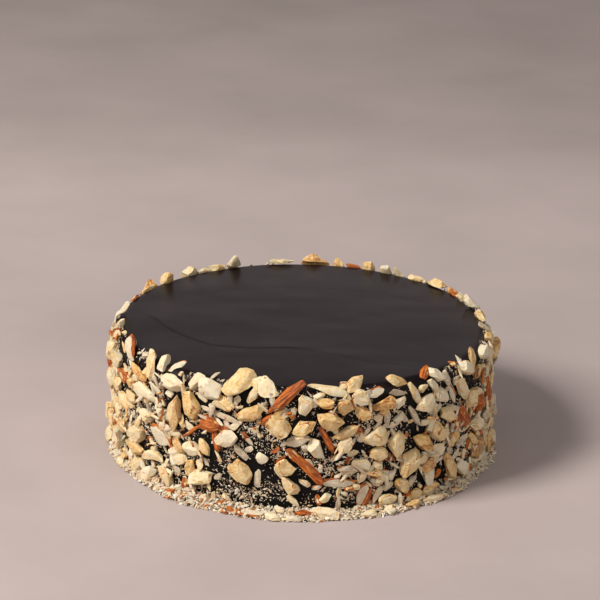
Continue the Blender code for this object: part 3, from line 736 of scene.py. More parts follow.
def settle(nuts):
    """Moves nuts apart that crowd each other on the unrolled side, by part of the overlap in each round."""
    rows = [discs_under(nut) for nut in nuts]
    owner = np.repeat(np.arange(len(nuts)), [len(row) for row in rows])
    offsets = np.vstack(rows)
    radius = DISC_SHARE * np.array([nut["width"] for nut in nuts])[owner]
    as_node = np.array([nut["as_node"] for nut in nuts])
    drift = np.array([nut["drift"] for nut in nuts])[owner]
    share = drift[:, None] / (drift[:, None] + drift[None, :])
    by_node = as_node[owner][:, None] | as_node[owner][None, :]
    wanted = radius[:, None] + radius[None, :] + np.where(by_node, NODE_CLEARANCE, -FUSED_OVERLAP)
    wanted[owner[:, None] == owner[None, :]] = 0
    half_rise = np.array([abs(row[:, 1]).max() + nut["width"] / 2 for row, nut in zip(rows, nuts)])
    middles = unrolled(nuts)
    _, bank_height = bank_size(middles[:, 0] / GLAZE_RADIUS)
    lowest = np.where(as_node, BANK_CLEARANCE * bank_height + half_rise, SIDE_FOOT)
    highest = np.maximum(middles[:, 1], SIDE_TOP)
    for _ in range(SETTLE_ROUNDS):
        across = apart(middles[owner] + offsets, middles[owner] + offsets)
        distance = np.hypot(across[..., 0], across[..., 1]) + 1e-9
        overlap = np.maximum(wanted - distance, 0) * share / distance
        push = 0.5 * (across * overlap[..., None]).sum(axis=1)
        moves = np.stack([np.bincount(owner, push[:, axis], len(nuts)) for axis in (0, 1)], axis=1)
        middles += np.clip(moves, -LARGEST_MOVE, LARGEST_MOVE)
        middles[:, 1] = np.clip(middles[:, 1], lowest, highest)
    for nut, (round_it, way_up) in zip(nuts, middles):
        nut["angle"] = round_it / GLAZE_RADIUS
        nut["way_up"] = way_up


def clear_of_nodes(nuts):
    """The nuts without those fused ones that still crowd a nut that is its own object."""
    kept = [nut for nut in nuts if nut["as_node"]]
    nodes = discs_of(kept, DISC_SHARE)
    for nut in nuts:
        middles, radii = discs_of([nut], DISC_SHARE)
        if not nut["as_node"] and room_at(middles, *nodes).min() - radii[0] > LEAST_CLEARANCE:
            kept.append(nut)
    return kept


def whole_coat():
    """The nuts that stand out, then large ones out of sight, then the small ones all round."""
    nuts = listed_nuts(SHOWN_NUTS, MM, 0, BERRY_SIZE)
    hidden = [math.radians(angle) for angle in HIDDEN_ANGLES]
    strew(nuts, HIDDEN_NODES, LARGEST_DRAWN, BERRY_SIZE, hidden, True, 1)
    settle(nuts)
    strew(nuts, FUSED_NUTS, BERRY_SIZE, SMALLEST_FUSED, (-math.pi, math.pi), False, 2)
    settle(nuts)
    return clear_of_nodes(nuts)


def give_tones(nuts):
    """Gives each nut its toast, dust and skin: by the tone listed for it, or by a drawn one."""
    draw = np.random.default_rng([SEED, 21])
    names = list(TONES)
    for nut in sorted(nuts, key=lambda each: each["seed"]):
        drawn = names[draw.choice(len(names), p=KINDS[nut["kind"]]["tones"])]
        toast, dust, skin = TONES[nut["tone"] or drawn]
        toast = min(max(toast + draw.normal(0, TOAST_SPREAD), 0), 1)
        dust = min(max(dust + draw.normal(0, DUST_SPREAD), 0), 1)
        nut["tone"] = (toast, dust, skin)


def broken_faces(draw, side_count, top_count, depth):
    """The flat breaks of a piece as rows f: the piece ends where f . x = 1, in a box of half size 1."""
    full = 2 * math.pi
    uneven = draw.uniform(-UNEVEN_TURN, UNEVEN_TURN, side_count)
    even = (np.arange(side_count) + uneven) * full / max(side_count, 1)
    round_it = np.append(even + draw.uniform(0, full), draw.uniform(0, full, top_count))
    rise = np.append(draw.uniform(*SIDE_RISE, side_count), full / 4 - draw.uniform(*TOP_FALL, top_count))
    level = np.cos(rise)
    facing = np.stack([level * np.cos(round_it), level * np.sin(round_it), np.sin(rise)], axis=-1)
    return facing / (1 - depth * draw.uniform(*DEPTH_SPREAD, len(facing)))[:, None]


def gauges(direction, faces, powers):
    """The g of each shape, which ends at 1 / g along a direction, and its slope: rounded box, then faces."""
    outline, thickness = powers
    size = np.maximum(np.abs(direction), 1e-9)
    flat = (size[..., :2] ** outline).sum(axis=-1)
    whole = flat ** (thickness / outline) + size[..., 2] ** thickness
    slope = np.sign(direction) * size ** np.array([outline - 1, outline - 1, thickness - 1])
    slope[..., :2] *= (flat ** (thickness / outline - 1))[..., None]
    slope *= (whole ** (1 / thickness - 1))[..., None]
    box = whole ** (1 / thickness)
    cut = np.einsum("nrsk,nck->nrsc", direction, faces)
    values = np.concatenate([box[..., None], cut], axis=-1)
    flat_slopes = np.broadcast_to(faces[:, None, None], (*cut.shape, 3))
    slopes = np.concatenate([slope[..., None, :], flat_slopes], axis=-2)
    return values, slopes


def chopped_shapes(faces, main_count, powers, ring_count, side_count, crispness):
    """Pieces (n, rings, sides, 3) for faces (n, k, 3), and how far inside a main break each point is.

    Along a direction d a piece ends at 1 / (the sum of g(d)^crispness)^(1/crispness), where g runs over
    a rounded box and the flat breaks. Grid points less than half a cell from an edge are first moved
    onto it, by the Newton step to where the two largest g are equal, so that the edges come out crisp.
    """
    from_tip = np.linspace(0, math.pi, ring_count + 2)[:, None]
    round_it = np.linspace(0, 2 * math.pi, side_count, endpoint=False)[None, :] + GRID_TURN
    ring = np.sin(from_tip)
    along = -np.cos(from_tip) + 0 * round_it
    direction = np.stack([along, ring * np.cos(round_it), ring * np.sin(round_it)], axis=-1)
    direction = np.broadcast_to(direction, (len(faces), *direction.shape)).copy()
    half_cell = 0.5 * np.hypot(math.pi / (ring_count + 1), 2 * math.pi / side_count * ring)
    values, slopes = gauges(direction, faces, powers)
    order = np.argsort(values, axis=-1)[..., -2:]
    top = np.take_along_axis(values, order, axis=-1)
    way = np.take_along_axis(slopes, order[..., None], axis=-2)
    way = way[..., 1, :] - way[..., 0, :]
    steep = np.maximum(np.linalg.norm(way, axis=-1), 1e-6)
    step = (top[..., 1] - top[..., 0]) / steep
    step = np.where(step < half_cell, step, 0)
    step[:, (0, -1)] = 0
    direction -= (step / steep)[..., None] * way
    values = np.maximum(gauges(direction, faces, powers)[0], 1e-3)
    shape = direction * (values**crispness).sum(axis=-1)[..., None] ** (-1 / crispness)
    broken = values[..., 1 : 1 + main_count].max(axis=-1, initial=1e-3)
    return shape, np.log(broken / values[..., 0])


def nut_surface(nut, grid):
    """Rows of points round one nut from tip to tip, tapered and bent, and how far inside a break each is."""
    look, form = KINDS[nut["kind"]], FORMS[nut["form"]]
    draw, nick_draw = (np.random.default_rng([SEED, each, nut["seed"]]) for each in (77, 79))
    faces = broken_faces(draw, form["sides"], form["tops"], form["depth"] * look["depth"])
    nicks = broken_faces(nick_draw, *NICKS, NICK_DEPTH * look["depth"])
    every_face = np.vstack([faces, nicks])[None]
    shapes, cuts = chopped_shapes(every_face, len(faces), look["powers"], *grid, CRISPNESS)
    shape = shapes[0]
    bend = form["curl"] or look["bend"] * draw.choice((-1, 1)) * draw.uniform(*BEND_SPREAD)
    shape[..., 1:] *= 1 + TAPER * draw.uniform(-1, 1) * shape[..., :1]
    shape[..., 1] += bend * (shape[..., 0] ** 2 - BEND_SET_BACK)
    shape /= np.abs(shape).max(axis=(0, 1))
    half_sizes = np.array([nut["length"], nut["width"], nut["width"] * look["thick"]]) / 2
    return shape * half_sizes * FILLED_OUT, cuts[0]


def nut_relief(nut, local, cut):
    """How far each point stands out of the plain shape: lumps, and wrinkles where it isn't cut."""
    look = KINDS[nut["kind"]]
    shifted = local + LUMP_SHIFT * nut["seed"]
    uncut = np.clip(0.5 - WRINKLE_END * cut, 0, 1)
    return look["lumps"] * waves(shifted, LUMPS) + look["wrinkles"] * waves(shifted, WRINKLES) * uncut


def skin_values(nut, local, cut):
    """The cut values as the skin reads them, which shows where they are low.

    Skin of kind 1 reaches a little over the breaks, so they are lowered. For kind 2 they stay high but
    on the outline of one long side, near y = 1.
    """
    skin = nut["tone"][2]
    if skin < 2:
        return cut - SKIN_REACH * skin
    x, y = local[..., 0] / (nut["length"] / 2), local[..., 1] / (nut["width"] / 2)
    near_edge = np.clip(np.sqrt(x**2 + y**2) - EDGE_START, 0, 1)
    return SKIN_REACH - EDGE_GROWTH * near_edge * np.clip(0.5 + EDGE_TURN * y, 0, 1)


def side_frame(angle, way_up, tilt_share=1.0):
    """Points on the glazed side and rim, with the outward, round and upward ways there.

    Over the rim, the outward way tilts up by a share of the rim's own turn.
    """
    rim_turn = np.clip((way_up - STRAIGHT_TOP) / RIM_ROUNDING, 0, math.pi / 2)
    radius = GLAZE_RADIUS - RIM_ROUNDING * (1 - np.cos(rim_turn))
    height = np.minimum(way_up, STRAIGHT_TOP) + RIM_ROUNDING * np.sin(rim_turn)
    sine, cosine, tilt = np.sin(angle), np.cos(angle), tilt_share * rim_turn
    point = np.stack([radius * sine, -radius * cosine, height], axis=-1)
    outward = np.stack([np.cos(tilt) * sine, -np.cos(tilt) * cosine, np.sin(tilt)], axis=-1)
    around = np.stack([cosine, sine, 0 * sine], axis=-1)
    return point, outward, around, np.cross(outward, around)


def turned_ways(outward, around, upward, turn, long_lean, wide_lean):
    """The long, wide and thick ways of a nut at a turn from level, leaning outwards by two small shares."""
    long_way = np.cos(turn) * around + np.sin(turn) * upward + long_lean * outward
    long_way /= np.linalg.norm(long_way, axis=-1, keepdims=True)
    wide_way = np.cross(outward, long_way) + wide_lean * outward
    wide_way -= (wide_way * long_way).sum(axis=-1, keepdims=True) * long_way
    wide_way /= np.linalg.norm(wide_way, axis=-1, keepdims=True)
    return np.stack([long_way, wide_way, np.cross(long_way, wide_way)], axis=-2)


def place_on_side(nut, points):
    """Moves points from the nut's frame to its place: pressed in by SINK, and leaning a little."""
    draw = np.random.default_rng([SEED, 78, nut["seed"]])
    foot, *ways = side_frame(nut["angle"], nut["way_up"], RIM_LEAN)
    lean = draw.uniform(-1, 1, 2) * (NODE_LEAN if nut["as_node"] else FUSED_LEAN)
    half_thick = nut["width"] * KINDS[nut["kind"]]["thick"] / 2
    middle = foot + (half_thick - min(SINK, 0.5 * half_thick)) * ways[0]
    return middle + points @ turned_ways(*ways, nut["turn"], *lean)


def press_back(points):
    """Flattens a loose nut's back to the glaze: a depth below the gap fades towards it, never past it."""
    radius = np.hypot(points[..., 0], points[..., 1])
    past = np.stack([radius - GLAZE_RADIUS + RIM_ROUNDING, points[..., 2] - STRAIGHT_TOP], axis=-1)
    outside = np.maximum(past, 0)
    far = np.linalg.norm(outside, axis=-1)
    gap = NODE_GAP + RIM_GAP * outside.min(axis=-1) / RIM_ROUNDING
    depth = far + np.minimum(past.max(axis=-1), 0) - RIM_ROUNDING - gap
    faded = GAP_FADE * np.exp(np.minimum(depth - GAP_FADE, 0) / GAP_FADE)
    pressed = np.where(depth < GAP_FADE, faded, depth)
    way_out = outside / np.maximum(far, 1e-9)[..., None] * (pressed - depth)[..., None]
    points = points.copy()
    points[..., :2] *= (1 + way_out[..., 0] / radius)[..., None]
    points[..., 2] += way_out[..., 1]
    return points


def in_order(values):
    """Grids of values, one for each nut, in a closed skin's order: both tips, then the rows between."""
    between = values[:, 1:-1].reshape(len(values), -1, *values.shape[3:])
    return np.concatenate([values[:, :1, 0], values[:, -1:, 0], between], axis=1)


def nuts_as_mesh(name, nuts, place):
    """One mesh of nuts, each moved by place to where it lies. Big ones get finer grids."""
    points, faces, count = [], [], 0
    layers = {"cut": [], "toast": [], "dust": [], "skin": [], "own": []}
    for nut in nuts:
        grid = next(cells for longest, cells in NUT_GRIDS if nut["length"] < longest)
        local, cut = nut_surface(nut, grid)
        cut = skin_values(nut, local, cut)
        spread = np.maximum(np.linalg.norm(local, axis=-1, keepdims=True), LUMP_CORE)
        relief = min(nut["width"] / FULL_LUMPS, 1) * nut_relief(nut, local, cut)
        local = local * (1 + relief[..., None] / spread)
        placed = place(nut, local)
        placed[..., 2] = np.maximum(placed[..., 2], LOWEST_POINT)
        if nut["as_node"]:
            placed = press_back(placed)
        points.append(in_order(placed[None])[0])
        faces.append(count + closed_skin(placed[1:-1]))
        count += len(points[-1])
        layers["cut"].append(in_order(cut[None])[0])
        layers["own"].append(in_order(local[None])[0] + COLOUR_SHIFT * nut["seed"])
        toast, dust, skin = nut["tone"]
        for label, value in (("toast", toast), ("dust", dust), ("skin", min(skin, 1))):
            layers[label].append(np.full(len(points[-1]), value))
    attributes = {label: np.concatenate(values) for label, values in layers.items()}
    return piece_from(name, np.vstack(points), np.vstack(faces), nut_finish, attributes)


def chopped_nut():
    """Chopped nut: kernel from ivory to toasted tan by its own attribute, paler and rougher where cut.

    Noise mottles the toast and browns the broken edges in places. Brown almond skin, striped lengthwise,
    lies on the uncut surface where the skin attribute says so. A grey-white dust of meal dulls some nuts.
    """
    finish = Finish("chopped_nut")
    mapped, sum_of = finish.mapped, finish.sum_of
    toast, dust, skin, cut = map(finish.stored, ("toast", "dust", "skin", "cut"))
    own = finish.stored("own", "Vector")
    blotch, mottle, speck = (finish.noise(own, *pattern) for pattern in (BLOTCHES, MOTTLE, SPECKS))
    stretched = finish.add("ShaderNodeMapping", {"Vector": own, "Scale": STREAK_STRETCH}).outputs["Vector"]
    streak = finish.noise(stretched, *STREAKS)
    # Toast varies over each nut. A cut face is paler, and a broken edge is browner.
    on_cut = mapped(cut, -0.03, 0.03, 0, 1)
    beside = sum_of("ABSOLUTE", cut)
    browned = sum_of("MULTIPLY", mapped(beside, 0, 0.040, 1, 0), mapped(blotch, 0.38, 0.58, 0.20, 0.85))
    level = sum_of("ADD", toast, mapped(blotch, 0, 1, -0.30, 0.30))
    level = sum_of("ADD", level, mapped(mottle, 0.25, 0.75, -0.38, 0.38))
    level = sum_of("ADD", level, mapped(streak, 0.30, 0.70, -0.16, 0.16))
    level = sum_of("MULTIPLY_ADD", on_cut, -0.16, level)
    level = sum_of("ADD", level, browned, clamp=True)
    dusty = finish.ramp(mottle, DUSTY_COLOURS)
    kernel = finish.mixed(dust, finish.ramp(level, KERNEL_COLOURS), dusty)
    # Brown skin: streaks run along the nut, and flakes of it cling to some edges.
    edge = sum_of("ADD", sum_of("ADD", cut, 0.05), mapped(blotch, 0, 1, -0.15, 0.15))
    kept = sum_of("MULTIPLY", mapped(edge, 0.03, 0.07, 1, 0), skin)
    cling = sum_of("MULTIPLY", mapped(beside, 0, 0.05, 1, 0), mapped(blotch, 0.565, 0.62, 0, 0.9))
    kept = sum_of("MAXIMUM", kept, cling)
    colour = finish.mixed(kept, kernel, finish.ramp(streak, SKIN_COLOURS))
    # Fine meal sticking to it shows as pale specks.
    powder = sum_of("MULTIPLY", mapped(speck, 0.54, 0.64, 0, 0.36), mapped(kept, 0, 1, 1, 0.04))
    colour = finish.mixed(powder, colour, POWDER_COLOUR)
    relief = sum_of("MULTIPLY_ADD", mottle, 1.6, speck)
    relief = sum_of("MULTIPLY_ADD", streak, mapped(kept, 0, 1, 1.3, 3.5), relief)
    grain = finish.bump(relief, strength=0.9, distance=0.00042)
    finish.wear(Base_Color=colour, Roughness=mapped(on_cut, 0, 1, 0.34, 0.50), Normal=grain)
    return finish.wear(Subsurface_Weight=0.22, Subsurface_Radius=(1.0, 0.45, 0.18), Subsurface_Scale=0.0009)


coat = whole_coat()
give_tones(coat)
nut_finish = chopped_nut()
for kind in KINDS:
    alike = [nut for nut in coat if nut["kind"] == kind]
    nuts = nuts_as_mesh(f"{kind}s", alike, place_on_side)
    node_count = sum(nut["as_node"] for nut in alike)
    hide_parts(*[f"{kind}_{number + 1:02d}" for number in range(node_count)])


# ---------------------------------------------------------------- the bank of meal at the foot
# What falls off while the side is coated gathers round the foot: fine nut meal, knocked into a low bank.
# It is a closed ring that starts a little inside the glaze and thins out to a broken toe.

BANK_GRID = (900, 24)

# Grains and clumps that stand out of it, bays and nicks that draw in its toe by a share of its reach,
# how far out (and how much more at the toe) and up the grains stand, how far along its half wave the
# sine that keeps them low starts, how much the bank is lowered for them, and how far inside the glaze
# and how high its back is.
MEAL_LUMPS = ((0.00050, 0.0016, 31), (0.00030, 0.0008, 32), (0.00045, 0.0060, 33))
TOE_BAYS = ((0.20, 0.0070, 34),)
TOE_NICKS = ((0.16, 0.0022, 35),)
STAND_OUT = (0.35, 0.5)
STAND_UP = 0.8
WAVE_START = 0.1
MEAL_LOWERED = 0.0003
BACK_INSET = 0.002
BACK_HEIGHT = 0.0022

MEAL_CELLS = 900
# Colours of the meal's cells by a random pick: the darkest two fifths are near black, painted shade of the
# deep gaps between grains, then brown skin, tan, cream and off-white.
MEAL_COLOURS = (
    (0.0, (0.014, 0.009, 0.007)),
    (0.40, (0.030, 0.018, 0.012)),
    (0.43, (0.34, 0.12, 0.03)),
    (0.47, (0.50, 0.36, 0.22)),
    (0.60, (0.74, 0.61, 0.45)),
    (0.85, (0.83, 0.74, 0.58)),
    (1.0, (0.88, 0.82, 0.70)),
)


def bank_surface(angle, across):
    """Points of the bank, from the glaze (across = 0) down to its toe (across = 1), at each angle."""
    reach, height = bank_size(angle)
    stops, shares = np.array(BANK_SECTION[::-1]).T
    radius = GLAZE_RADIUS + reach * across
    rise = height * np.interp(across, stops, shares)
    return np.stack([radius * np.sin(angle), -radius * np.cos(angle), rise], axis=-1)


def bank_rows(around_count, across_count):
    """The bank's closed section carried round the foot, with noise that raises grains and breaks its toe.

    The grains are lower by the glaze and end at the toe, by the root of a sine over half a wave.
    """
    angle = np.linspace(0, 2 * math.pi, around_count, endpoint=False)[None, :]
    across = np.linspace(0, 1, across_count)[:, None]
    top = bank_surface(angle + 0 * across, across + 0 * angle)
    toe = top[-1:] * (1, 1, 0)
    drawn_in = np.maximum(waves(toe, TOE_BAYS), 0) + np.abs(waves(toe, TOE_NICKS))
    radius = np.hypot(top[..., 0], top[..., 1])
    top[..., :2] *= (1 - (1 - GLAZE_RADIUS / radius) * drawn_in * across)[..., None]
    outward = np.stack([np.sin(angle), -np.cos(angle), 0 * angle], axis=-1)
    standing = outward * (STAND_OUT[0] + STAND_OUT[1] * across[..., None]) + (0, 0, STAND_UP)
    held = np.sin(math.pi * np.clip(across * (1 - WAVE_START) + WAVE_START, 0, 1)) ** 0.5
    top = top + standing * (held * waves(top, MEAL_LUMPS) - MEAL_LOWERED)[..., None]
    top[..., 2] = np.maximum(top[..., 2], 0)
    top[-1, :, 2] = 0
    inside = (GLAZE_RADIUS - BACK_INSET) * outward[0]
    return np.concatenate([top, np.stack([inside, inside + (0, 0, BACK_HEIGHT)])])


def ring_faces(row_count, side_count):
    """Triangles over rows of points that close both ways."""
    index = np.arange(row_count * side_count).reshape(row_count, side_count)
    below = np.roll(index, -1, axis=0)
    after, below_after = np.roll(index, -1, axis=1), np.roll(below, -1, axis=1)
    first = np.stack([index, below_after, after], axis=-1).reshape(-1, 3)
    second = np.stack([index, below, below_after], axis=-1).reshape(-1, 3)
    return np.vstack([first, second])


def nut_meal():
    """Nut meal on the glaze that ran down: grain-sized cells, ivory, tan or brown, with painted shade
    between.
    """
    finish = Finish("nut_meal")
    cells = finish.add("ShaderNodeTexVoronoi", {"Vector": finish.place(), "Scale": MEAL_CELLS}).outputs
    pick = finish.add("ShaderNodeSeparateColor", {"Color": cells["Color"]}).outputs[0]
    # Painted shade: each cell's colour is darkened towards its border, as in the gaps between grains.
    gap_painted_shade = finish.mapped(cells["Distance"], 0.3, 0.75, 1, 0.25)
    colour = finish.mixed(1, finish.ramp(pick, MEAL_COLOURS), gap_painted_shade, "MULTIPLY")
    grains = finish.bump(cells["Distance"], strength=0.8, distance=0.0005, invert=True)
    return finish.wear(Base_Color=colour, Roughness=0.75, Normal=grains)


bank = bank_rows(*BANK_GRID)
bank_faces = ring_faces(*bank.shape[:2])
meal_bank = piece_from("meal_bank", bank.reshape(-1, 3), bank_faces, nut_meal())
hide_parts("cake")


# ---------------------------------------------------------------- bits, splinters and grains
# Chopping leaves everything down to dust. Bits fill the gaps between the nuts, and splinters and grains
# of meal speckle the glaze and lie loose on the bank. The bits that stand out are placed one by one.

# Tone, kind and form, angle from the front in degrees, way up the side, length and width in
# millimetres, and turn in degrees from level.
SHOWN_BITS = (
    ("brown almond half", -76, 33, 7, 2.6, 60),
    ("brown almond half", -75, 41, 6, 2.4, 30),
    ("grey slice half", -65, 29.5, 9, 4, 10),
    ("cream cashew chunk", -57.5, 44, 9, 4.2, -10),
    ("grey slice half", -56, 24.5, 8.5, 3.8, -11),
    ("cream slice half", -53, 40, 8, 3, -9),
    ("grey sliver half", -52.5, 33, 6, 1.9, -55),
    ("grey slice half", -47, 23.5, 7, 3, -29),
    ("brown sliver half", -43.5, 26.5, 12, 2, -35),
    ("white cashew block", -42, 50, 4.5, 3.3, -25),
    ("cream cashew wedge", -39.5, 31, 6, 3.8, -27),
    ("grey sliver half", -37, 60, 5, 1.2, -66),
    ("white slice half", -34.5, 37, 6, 3.8, -47),
    ("brown sliver half", -33.5, 35, 13, 1.8, 40),
    ("cream slice half", -30, 53.5, 6, 3.3, -38),
    ("grey slice half", -28.5, 20.5, 4.5, 2.4, -40),
    ("cream sliver half", -24.5, 25, 6, 1.4, -57),
    ("grey slice half", -24.5, 14.5, 5, 3, 54),
    ("white cashew wedge", -19, 42.5, 7, 3.4, 36),
    ("grey sliver half", -17.5, 29, 9, 3, -48),
    ("brown sliver half", -16, 37.5, 5, 2, -65),
    ("grey sliver half", -15, 35.5, 5, 2, -42),
    ("grey slice half", -15, 31, 5, 3, 31),
    ("grey slice half", -13, 49.5, 5.5, 3.8, -42),
    ("white cashew chunk", -11, 27.5, 6, 4.8, -32),
    ("brown sliver half", -9.5, 47.5, 8, 3.3, 42),
    ("brown sliver half", -7, 32, 4.5, 2, 32),
    ("cream slice half", -6, 21, 7, 3, -60),
    ("brown sliver half", -5.5, 27.5, 5.5, 1.7, 39),
    ("grey slice half", -4.5, 35.5, 4.5, 2.4, 37),
    ("brown almond wedge", -2, 30, 8, 3.8, -45),
    ("cream slice half", -2, 7, 8, 3, -30),
    ("cream cashew half", 1.5, 16, 6, 3.3, -36),
    ("cream slice half", 2.5, 25.5, 6.5, 3.8, -62),
    ("rimmed slice half", 4, 21, 5.5, 2.4, -40),
    ("rimmed slice half", 5, 13.5, 5.5, 2.6, 21),
    ("brown almond half", 5.5, 7.5, 5.5, 3, -69),
    ("cream cashew chunk", 7.5, 8, 6.5, 3.8, 31),
    ("rimmed slice half", 10, 28.5, 5, 2.4, 34),
    ("grey slice half", 11.5, 4, 8, 2.4, 81),
    ("grey slice half", 15.5, 36, 6.5, 2.4, 55),
    ("cream slice half", 15.5, 30.5, 5.5, 3, 29),
    ("brown sliver half", 16.5, 42.5, 7, 2.9, -26),
    ("cream cashew wedge", 18.5, 17.5, 7.4, 3.8, 68),
    ("grey slice half", 19, 58.5, 7.5, 4.8, 39),
    ("grey sliver half", 19.5, 40.5, 5.5, 2, 47),
    ("cream sliver half", 21.5, 37.5, 6.5, 2, 42),
    ("rimmed slice half", 23, 14, 7.5, 4, -45),
    ("cream cashew block", 23, 47, 5.7, 4.3, 8),
    ("brown sliver half", 23, 35.5, 5, 2.4, -32),
    ("brown sliver half", 23, 25.5, 6, 1.5, -72),
    ("cream cashew block", 23.5, 22.5, 6.6, 5, -36),
    ("cream cashew block", 24, 15.5, 7, 4.3, 38),
    ("brown sliver half", 24, 27, 14, 1.2, -30),
    ("rimmed slice half", 25, 42, 6, 2.4, 21),
    ("cream sliver half", 26, 36.5, 6.5, 1.5, 78),
    ("grey slice block", 26, 46, 8, 3.3, -88),
    ("rimmed slice half", 27, 17, 7.5, 3.8, -42),
    ("grey slice half", 27, 11, 5.5, 3.3, 26),
    ("white cashew chunk", 28, 17, 5, 3.3, 34),
    ("grey sliver half", 28.5, 37, 8.5, 2.4, -61),
    ("white cashew chunk", 29.5, 45.5, 6.5, 3.8, 34),
    ("white cashew wedge", 30, 53.5, 6.8, 4.3, 38),
    ("grey slice half", 31, 46, 8, 3, -54),
    ("brown sliver half", 34, 5, 5.5, 2.4, 21),
    ("grey cashew half", 35, 11.5, 6.5, 3.8, 46),
    ("cream cashew whole", 38, 58, 4.8, 3.8, 43),
    ("brown sliver half", 39.5, 34, 4, 1.5, 52),
    ("cream cashew half", 39.5, 40, 6.5, 3.3, 14),
    ("grey cashew wedge", 40, 20, 5.5, 3.3, 15),
    ("grey slice half", 43.5, 44, 8, 3.3, 34),
    ("grey slice half", 44.5, 17.5, 6.5, 3, 13),
    ("brown almond block", 45.5, 10.5, 5.5, 3.3, 25),
    ("grey slice wedge", 46, 50.5, 5.6, 3.8, 30),
    ("rimmed slice half", 48, 18.5, 8.5, 2.6, 15),
    ("cream slice half", 48.5, 25.5, 6.5, 2.4, 22),
    ("grey slice half", 48.5, 53, 6, 2.4, 32),
    ("brown sliver half", 51, 51.5, 10, 1.4, -50),
    ("grey slice half", 51, 20, 9, 3, -35),
    ("brown almond wedge", 58.5, 6, 8, 3.8, 10),
    ("grey slice half", 60, 27.5, 8.5, 3, 16),
    ("brown almond wedge", 62.5, 3.5, 8, 3.8, 20),
    ("grey slice half", 63.5, 41, 9, 3.8, -36),
    ("brown sliver half", 63.5, 25.5, 9, 1.6, 0),
    ("cream cashew chunk", 65, 28, 9, 4.5, -7),
    ("rimmed slice half", 66, 35.5, 9, 3.3, 12),
    ("cream cashew chunk", 67, 42.5, 9, 4, -10),
    ("grey slice half", 75, 17, 9, 3.3, -15),
)

# The pieces that lie on the bank: way up the side is here the share of the way from glaze to toe.
BANK_PIECES = (
    ("cream cashew half", -66, 0.8, 9, 4.5, -7),
    ("cream sliver half", -38, 0.4, 9, 2.4, 70),
    ("brown almond half", -38, 0.9, 4.5, 2, 105),
    ("grey sliver half", -33, 0.3, 7, 2, -13),
    ("brown sliver half", -26, 0.85, 3, 1.6, 30),
    ("brown sliver half", -22.5, 0.2, 6, 1.7, 50),
    ("brown almond half", -20.5, 0.9, 4.5, 2.2, -45),
    ("brown sliver half", -19, 0.65, 5.5, 2, -37),
    ("rimmed slice half", -13, 0.65, 13, 4.4, 176),
    ("cream cashew block", -7, 0.85, 8.5, 4.3, -29),
    ("white cashew block", -5.5, 0.25, 7.5, 4, -58),
    ("white cashew chunk", -1.5, 0.9, 7.5, 3.8, -15),
    ("brown almond whole", 1.5, 0.4, 7.4, 4.4, 2),
    ("cream cashew wedge", 7.5, 0.5, 14, 6.4, -24),
    ("rimmed slice half", 12, 0.85, 7.5, 3, -12),
    ("cream cashew wedge", 19.5, 0.8, 8.5, 4, 6),
    ("white cashew wedge", 26, 0.85, 5.5, 4, 40),
    ("tan cashew wedge", 33.5, 0.7, 8.5, 4, 16),
    ("cream sliver block", 41, 0.8, 13, 3.3, -5),
)

# How far above the bank the middle of such a piece lies, as a share of half its thickness, and the step
# along the bank's section over which its slope is taken.
BANK_STAND = 0.7
SLOPE_STEP = 0.02

# Where drawn bits lie: from this height up over this range, with so many places tried for each bit, a
# part of them at a time. A place is kept by a cloud of these layers of noise and an even share, and
# places grow fewer from SPARSE_FROM up over SPARSE_BAND, to SPARSEST of the way.
LOWEST_BIT = 0.002
BIT_RANGE = 0.062
TRIES = 6
AT_ONCE = 2000
CLOUD = ((0.75, 0.011, 41), (0.45, 0.0045, 42))
CLOUD_EXTRA = 0.13
SPARSE_FROM = 0.046
SPARSE_BAND = 0.016
SPARSEST = 0.9

# A bit's breaks (round its sides, over its top, depth), powers and crispness, how far it may lean, how
# much of its thickness stands off the surface, and the shift of its colour noise from the next bit's.
BIT_BREAKS = (4, 1, 0.5)
BIT_POWERS = (2.4, 2.6)
BIT_CRISPNESS = 30
BIT_LEAN = 0.35
BIT_STAND = 0.25
BIT_SHIFT = 0.011

# A splinter or grain: a four-sided double point, how far each corner strays, and a hair's breadth, the
# most that one lies off the surface and the lowest point of any.
SPLINTER_POINTS = ((-1, 0, 0), (1, 0, 0), (-0.15, 1, -0.4), (0.1, 0.1, 1), (0.2, -1, -0.3), (0, 0, -1))
SPLINTER_FACES = ((0, 3, 2), (0, 4, 3), (0, 5, 4), (0, 2, 5), (1, 2, 3), (1, 3, 4), (1, 4, 5), (1, 5, 2))
CORNER_STRAY = 0.35
HAIR = 0.0001

# A crumb's shade: brown skin up to BROWN_SHADE, and from PALE_SHADE on tan, then cream, then off-white.
BROWN_SHADE = 0.18
PALE_SHADE = 0.25
CRUMB_COLOURS = (
    (0.0, (0.13, 0.028, 0.007)),
    (BROWN_SHADE, (0.42, 0.13, 0.028)),
    (0.26, (0.58, 0.40, 0.21)),
    (0.55, (0.76, 0.61, 0.41)),
    (0.80, (0.68, 0.60, 0.47)),
    (1.0, (0.86, 0.80, 0.67)),
)
CRUMB_WEAR = ((0.35, (0.80, 0.80, 0.80)), (0.65, (1.0, 1.0, 1.0)))


def bank_frame(angle, across):
    """Points on the bank with the outward, round and upslope ways there."""
    point = bank_surface(angle, across)
    slope = bank_surface(angle, across - SLOPE_STEP) - point
    upslope = slope / np.linalg.norm(slope, axis=-1, keepdims=True)
    around = np.stack([np.cos(angle), np.sin(angle), 0 * angle], axis=-1)
    return point, np.cross(around, upslope), around, upslope


def lie_on_bank(nut, points):
    """Moves points from the nut's frame to its place on the bank, flat on the slope and a little sunk."""
    place, *ways = bank_frame(nut["angle"], nut["way_up"])
    half_thick = nut["width"] * KINDS[nut["kind"]]["thick"] / 2
    return place + BANK_STAND * half_thick * ways[0] + points @ turned_ways(*ways, nut["turn"], 0, 0)


